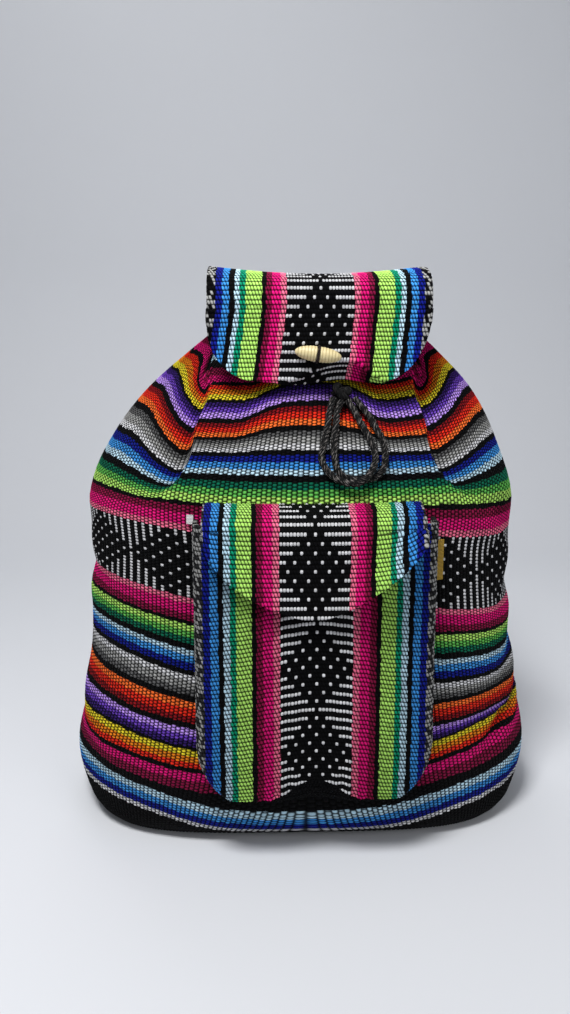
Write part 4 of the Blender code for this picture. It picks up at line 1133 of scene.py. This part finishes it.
def toggle_radius(place):
    """The spindle's radius along its length, with its fine turned rings."""
    share = np.clip((TOGGLE_LENGTH / 2 - np.abs(place)) / (TOGGLE_LENGTH / 2 - TOGGLE_GROOVE / 2), 0, 1)
    radius = TOGGLE_RADIUS * np.sin(math.pi / 2 * (0.02 + 0.98 * share) ** 0.55)
    rings = np.clip(np.sin(np.abs(place) * 2 * math.pi / RING_PITCH), 0, 1) * smooth_step(share, 0.1, 0.3)
    groove = 1 - smooth_step(np.abs(place), TOGGLE_GROOVE * 0.38, TOGGLE_GROOVE * 0.56)
    return radius - RING_DEPTH * rings - GROOVE_DEPTH * groove


toggle_centre = np.array((TOGGLE_X, FLAP_FRONT_Y - CLOTH / 2 - RIB - TOGGLE_STAND - TOGGLE_RADIUS, TOGGLE_Z))
tilt = np.array(Matrix.Rotation(TOGGLE_TILT, 3, "Y"))
places = TOGGLE_LENGTH / 2 * np.sin(np.linspace(-math.pi / 2, math.pi / 2, TOGGLE_RINGS))
round_shares = np.arange(TOGGLE_SIDES) / TOGGLE_SIDES
turn = 2 * math.pi * round_shares
radii = toggle_radius(places)[:, None]
rings = np.stack(np.broadcast_arrays(places[:, None], radii * np.cos(turn), radii * np.sin(turn)), -1)
toggle_mesh = tube_mesh("turned_toggle", rings @ tilt.T + toggle_centre, places, round_shares)
toggle_wood, tree, shader = new_material("turned_wood")
grain, along, _ = weave_place(tree)
ring_wave = calc(tree, "MULTIPLY", calc(tree, "ABSOLUTE", along), 2 * math.pi / RING_PITCH)
ring_wave = calc(tree, "SINE", ring_wave)
dark_rings = calc(tree, "MULTIPLY", ramp_value(tree, ring_wave, 0.2, 1.0), 0.55)
streaks = noise(tree, grain, 240.0, 3.0)
wood = blend_colour(tree, streaks, srgb(238, 226, 180), srgb(205, 184, 128))
wood = blend_colour(tree, dark_rings, wood, srgb(150, 122, 72))
tree.links.new(wood, shader.inputs["Base Color"])
shader.inputs["Roughness"].default_value = 0.42
toggle = add_piece("turned_toggle", toggle_mesh, toggle_wood, "toggle")
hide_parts("toggle")

# The thread comes out of the neck, goes round the groove and back in beside itself
hold = TOGGLE_RADIUS - GROOVE_DEPTH + GAP + THREAD_RADIUS
anchor = float(body_front(TOGGLE_X, TOGGLE_Z)) - GAP - RIB - THREAD_RADIUS - toggle_centre[1]
apart = THREAD_RADIUS + GAP
thread_route = [(0.0, anchor, -apart), (0.0, hold + THREAD_TAIL, -apart)]
for degrees in np.linspace(-36, -324, 15):
    turn = math.radians(degrees)
    thread_route.append((0.0, hold * math.cos(turn), hold * math.sin(turn)))
thread_route += [(0.0, hold + THREAD_TAIL, apart), (0.0, anchor, apart)]
thread_route = [tuple(tilt @ np.array(place) + toggle_centre) for place in thread_route]
thread_points, _ = smooth_path(thread_route, 160)
thread_material = make_rope_material("toggle_thread", srgb(22, 16, 16), srgb(70, 58, 52))
thread_mesh = rope_mesh("toggle_thread", thread_points, THREAD_RADIUS, sides=10, strands=2)
thread = add_piece("toggle_thread", thread_mesh, thread_material, "toggle")
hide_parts("toggle_loop")

# Two shoulder straps of striped cloth, sewn round a soft filling. Each is stitched flat to the back at
# both ends and bows out between them.
STRAP_WIDTH = 0.034
STRAP_THICKNESS = 0.005
STRAP_TOP_X, STRAP_TOP_Z = 0.034, 0.851 * RIM_HEIGHT
STRAP_FOOT_X, STRAP_FOOT_Z = 0.098, 0.026
STRAP_BOW = 0.024
STRAP_SEAM_DEPTH, STRAP_SEAM_WIDTH = 0.0009, 0.0010
STRAP_RELIEF = 0.0005
STRAP_ROWS, STRAP_SIDES = 400, 72
STRAP_STRIPES = (
    (BLACK, 1.6), (PALE, 2.2), (LIGHT_BLUE, 3.0), (NAVY, 2.6), (BLACK, 2.0), (LIME, 3.0), (GREEN, 2.2),
    (BLACK, 60.0),
)
strap_cloth = make_cloth("strap_weave", [(STRAP_STRIPES, 0.0)], bump_floats=False, brocade=False)
for node, side in (("strap_left", -1), ("strap_right", 1)):
    route = []
    for share in (0.0, 0.06, 0.2, 0.38, 0.56, 0.74, 0.88, 0.96, 1.0):
        x = STRAP_TOP_X + (STRAP_FOOT_X - STRAP_TOP_X) * share
        z = STRAP_TOP_Z + (STRAP_FOOT_Z - STRAP_TOP_Z) * share
        flat = float(body_back(max(x - STRAP_WIDTH / 2, 0.0), z)) + RIB + GAP + STRAP_THICKNESS / 2
        bow = STRAP_BOW * math.sin(math.pi * min(max((share - 0.05) / 0.9, 0.0), 1.0)) ** 1.3
        route.append((side * x, flat + bow, z))
    line, strap_length = smooth_path(route, STRAP_ROWS + 1)
    tangent = np.gradient(line, axis=0)
    tangent /= np.linalg.norm(tangent, axis=1)[:, None]
    across = np.array((1.0, 0.0, 0.0)) - tangent * tangent[:, :1]
    across /= np.linalg.norm(across, axis=1)[:, None]
    normal = np.cross(across, tangent)
    turn = 2 * math.pi * np.arange(STRAP_SIDES) / STRAP_SIDES
    wide = STRAP_WIDTH / 2 * np.sign(np.cos(turn)) * np.abs(np.cos(turn)) ** 0.45
    ease = smooth_step(np.linspace(0, strap_length, STRAP_ROWS + 1), 0.0, 0.012)
    ease = ease * smooth_step(np.linspace(strap_length, 0, STRAP_ROWS + 1), 0.0, 0.012)
    plump = 0.55 + 0.45 * ease
    thick = STRAP_THICKNESS / 2 * np.sign(np.sin(turn)) * np.abs(np.sin(turn)) ** 0.6
    from_seam = np.abs(wide) - STRAP_WIDTH / 2 * 0.82
    seam = STRAP_SEAM_DEPTH * np.exp(-(from_seam / STRAP_SEAM_WIDTH) ** 2) * np.sign(thick)
    along = np.linspace(0, strap_length, STRAP_ROWS + 1)
    relief = (float_height(along[:, None], wide[None, :], 0.0) - 0.5) * STRAP_RELIEF * np.sign(thick)
    level = thick[None, :] * plump[:, None] - seam + relief
    points = line[:, None] + across[:, None] * wide[None, :, None] + normal[:, None] * level[..., None]
    strap = add_piece(node + "_padded", tube_mesh(node + "_padded", points, along, wide), strap_cloth)
    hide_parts(node)

# The loop to hang the bag by is a short piece of the same cord, sewn to the back over the lid's seam.
# It stands up and leans back a little.
HANG_LOOP_WIDTH = 0.020
HANG_LOOP_HEIGHT = 0.046
HANG_LOOP_LEAN = 0.008
HANG_LOOP_FOOT = 0.002
flap_back = float(body_back(float(body_lean(FLAP_SEAM)), FLAP_SEAM)) + RIB + GAP + CLOTH / 2
loop_y = flap_back + CLOTH / 2 + RIB + GAP + CORD_DIAMETER / 2
shape = ((-0.75, 0.0, 0.0), (-0.85, 0.0, 0.26), (-1.0, 0.37, 0.52), (-0.85, 0.75, 0.83), (0.0, 1.0, 1.0))
shape += tuple((-wide, lean, rise) for wide, lean, rise in reversed(shape[:-1]))
hang_route = [(HANG_LOOP_WIDTH / 2 * wide + NECK_LEAN, loop_y + HANG_LOOP_LEAN * lean,
               FLAP_SEAM + HANG_LOOP_FOOT + HANG_LOOP_HEIGHT * rise) for wide, lean, rise in shape]
hang_points, _ = smooth_path(hang_route, 170)
hang_mesh = rope_mesh("hang_loop_rope", hang_points, CORD_DIAMETER / 2)
hang = add_piece("hang_loop_rope", hang_mesh, rope_material)
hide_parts("hang_loop")

# The base panel is black canvas inside the body's foot. Two small bare tags of woven tape are caught
# in the seams beside the pocket, a mustard one on the right and a white one on the left.
BASE_THICKNESS = 0.003
BASE_SIDES = 96
TAPE_RIB_PITCH = 0.0009
canvas, _, shader = new_material("base_canvas")
shader.inputs["Base Color"].default_value = srgb(14, 14, 16)
shader.inputs["Roughness"].default_value = 0.9
TAG_COLOURS = {"side_tag": ((186, 150, 40), (120, 92, 24)), "white_tag": ((228, 228, 226), (176, 176, 176))}
half, front, back, power = (float(value) for value in body_section(0.0))
x, y, normal_x, normal_y = ellipse_points(np.linspace(-math.pi, math.pi, BASE_SIDES, endpoint=False),
                                          half, front, back, power)
x, y = x - normal_x * (CLOTH + GAP), y - normal_y * (CLOTH + GAP)
verts = [(x[i], y[i], z) for z in (0.0, BASE_THICKNESS) for i in range(BASE_SIDES)]
faces = [tuple(range(BASE_SIDES - 1, -1, -1)), tuple(range(BASE_SIDES, 2 * BASE_SIDES))]
for i in range(BASE_SIDES):
    j = (i + 1) % BASE_SIDES
    faces.append((i, j, j + BASE_SIDES, i + BASE_SIDES))
base_mesh = bpy.data.meshes.new("base_canvas")
base_mesh.from_pydata(verts, [], faces)
base = add_piece("base_canvas", base_mesh, canvas)
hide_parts("base_panel")
for node, (face, gap) in TAG_COLOURS.items():
    tape, tree, shader = new_material(node + "_tape")
    place = tree.nodes.new("ShaderNodeTexCoord").outputs["Object"]
    parts = tree.nodes.new("ShaderNodeSeparateXYZ")
    tree.links.new(place, parts.inputs[0])
    ribs = calc(tree, "SINE", calc(tree, "MULTIPLY", parts.outputs[2], 2 * math.pi / TAPE_RIB_PITCH))
    tree.links.new(blend_colour(tree, ramp_value(tree, ribs, -0.6, 0.8), srgb(*gap), srgb(*face)),
                   shader.inputs["Base Color"])
    tree.links.new(bump(tree, ribs, 0.0001), shader.inputs["Normal"])
    shader.inputs["Roughness"].default_value = 0.8
    bpy.data.objects[node].data.materials[0] = tape

# The bag stands on a plain pale floor before a plain pale backdrop, under one small soft lamp high in
# front, a larger soft lamp on the right, another behind, and an even pale sky.
FLOOR_SIZE = 3.0
FLOOR_BACK = 1.1
FLOOR_RISE = 2.2
FLOOR_BEND, FLOOR_BEND_STEPS = 0.5, 16
LAMP_TARGET = (0.0, 0.0, 0.2)
KEY_TARGET = (0.0, 0.0, 0.3)


def make_stage():
    """One sheet: floor, a round bend, and a wall behind."""
    profile = [(-FLOOR_SIZE, 0.0)]
    for i in range(FLOOR_BEND_STEPS + 1):
        turn = math.pi / 2 * i / FLOOR_BEND_STEPS
        y = FLOOR_BACK - FLOOR_BEND * (1 - math.sin(turn))
        profile.append((y, FLOOR_BEND * (1 - math.cos(turn))))
    profile.append((FLOOR_BACK, FLOOR_RISE))
    verts = [(x, y, z) for x in (-FLOOR_SIZE, FLOOR_SIZE) for y, z in profile]
    count = len(profile)
    faces = [(i, i + count, i + 1 + count, i + 1) for i in range(count - 1)]
    mesh = bpy.data.meshes.new("stage")
    mesh.from_pydata(verts, [], faces)
    mesh.shade_smooth()
    stage = bpy.data.objects.new("stage", mesh)
    scene.collection.objects.link(stage)
    made, _, shader = new_material("stage_paint")
    shader.inputs["Base Color"].default_value = srgb(222, 224, 228)
    shader.inputs["Roughness"].default_value = 0.95
    shader.inputs["Specular IOR Level"].default_value = 0.1
    mesh.materials.append(made)


def add_lamp(name, place, target, size, power):
    """A soft square lamp that faces a target."""
    data = bpy.data.lights.new(name, "AREA")
    data.size = size
    data.energy = power
    lamp = bpy.data.objects.new(name, data)
    lamp.location = place
    lamp.rotation_euler = (Vector(target) - Vector(place)).to_track_quat("-Z", "Y").to_euler()
    scene.collection.objects.link(lamp)


make_stage()
add_lamp("key", (-0.22, -0.52, 1.15), KEY_TARGET, 0.28, 11.5)
add_lamp("fill", (0.9, -1.1, 0.8), LAMP_TARGET, 0.9, 3.4)
add_lamp("back", (-0.3, 1.0, 1.5), LAMP_TARGET, 0.8, 6.0)
sky = bpy.data.worlds.new("sky")
sky.use_nodes = True
sky.node_tree.nodes["Background"].inputs[0].default_value = srgb(225, 228, 235)
sky.node_tree.nodes["Background"].inputs[1].default_value = 0.34
scene.world = sky
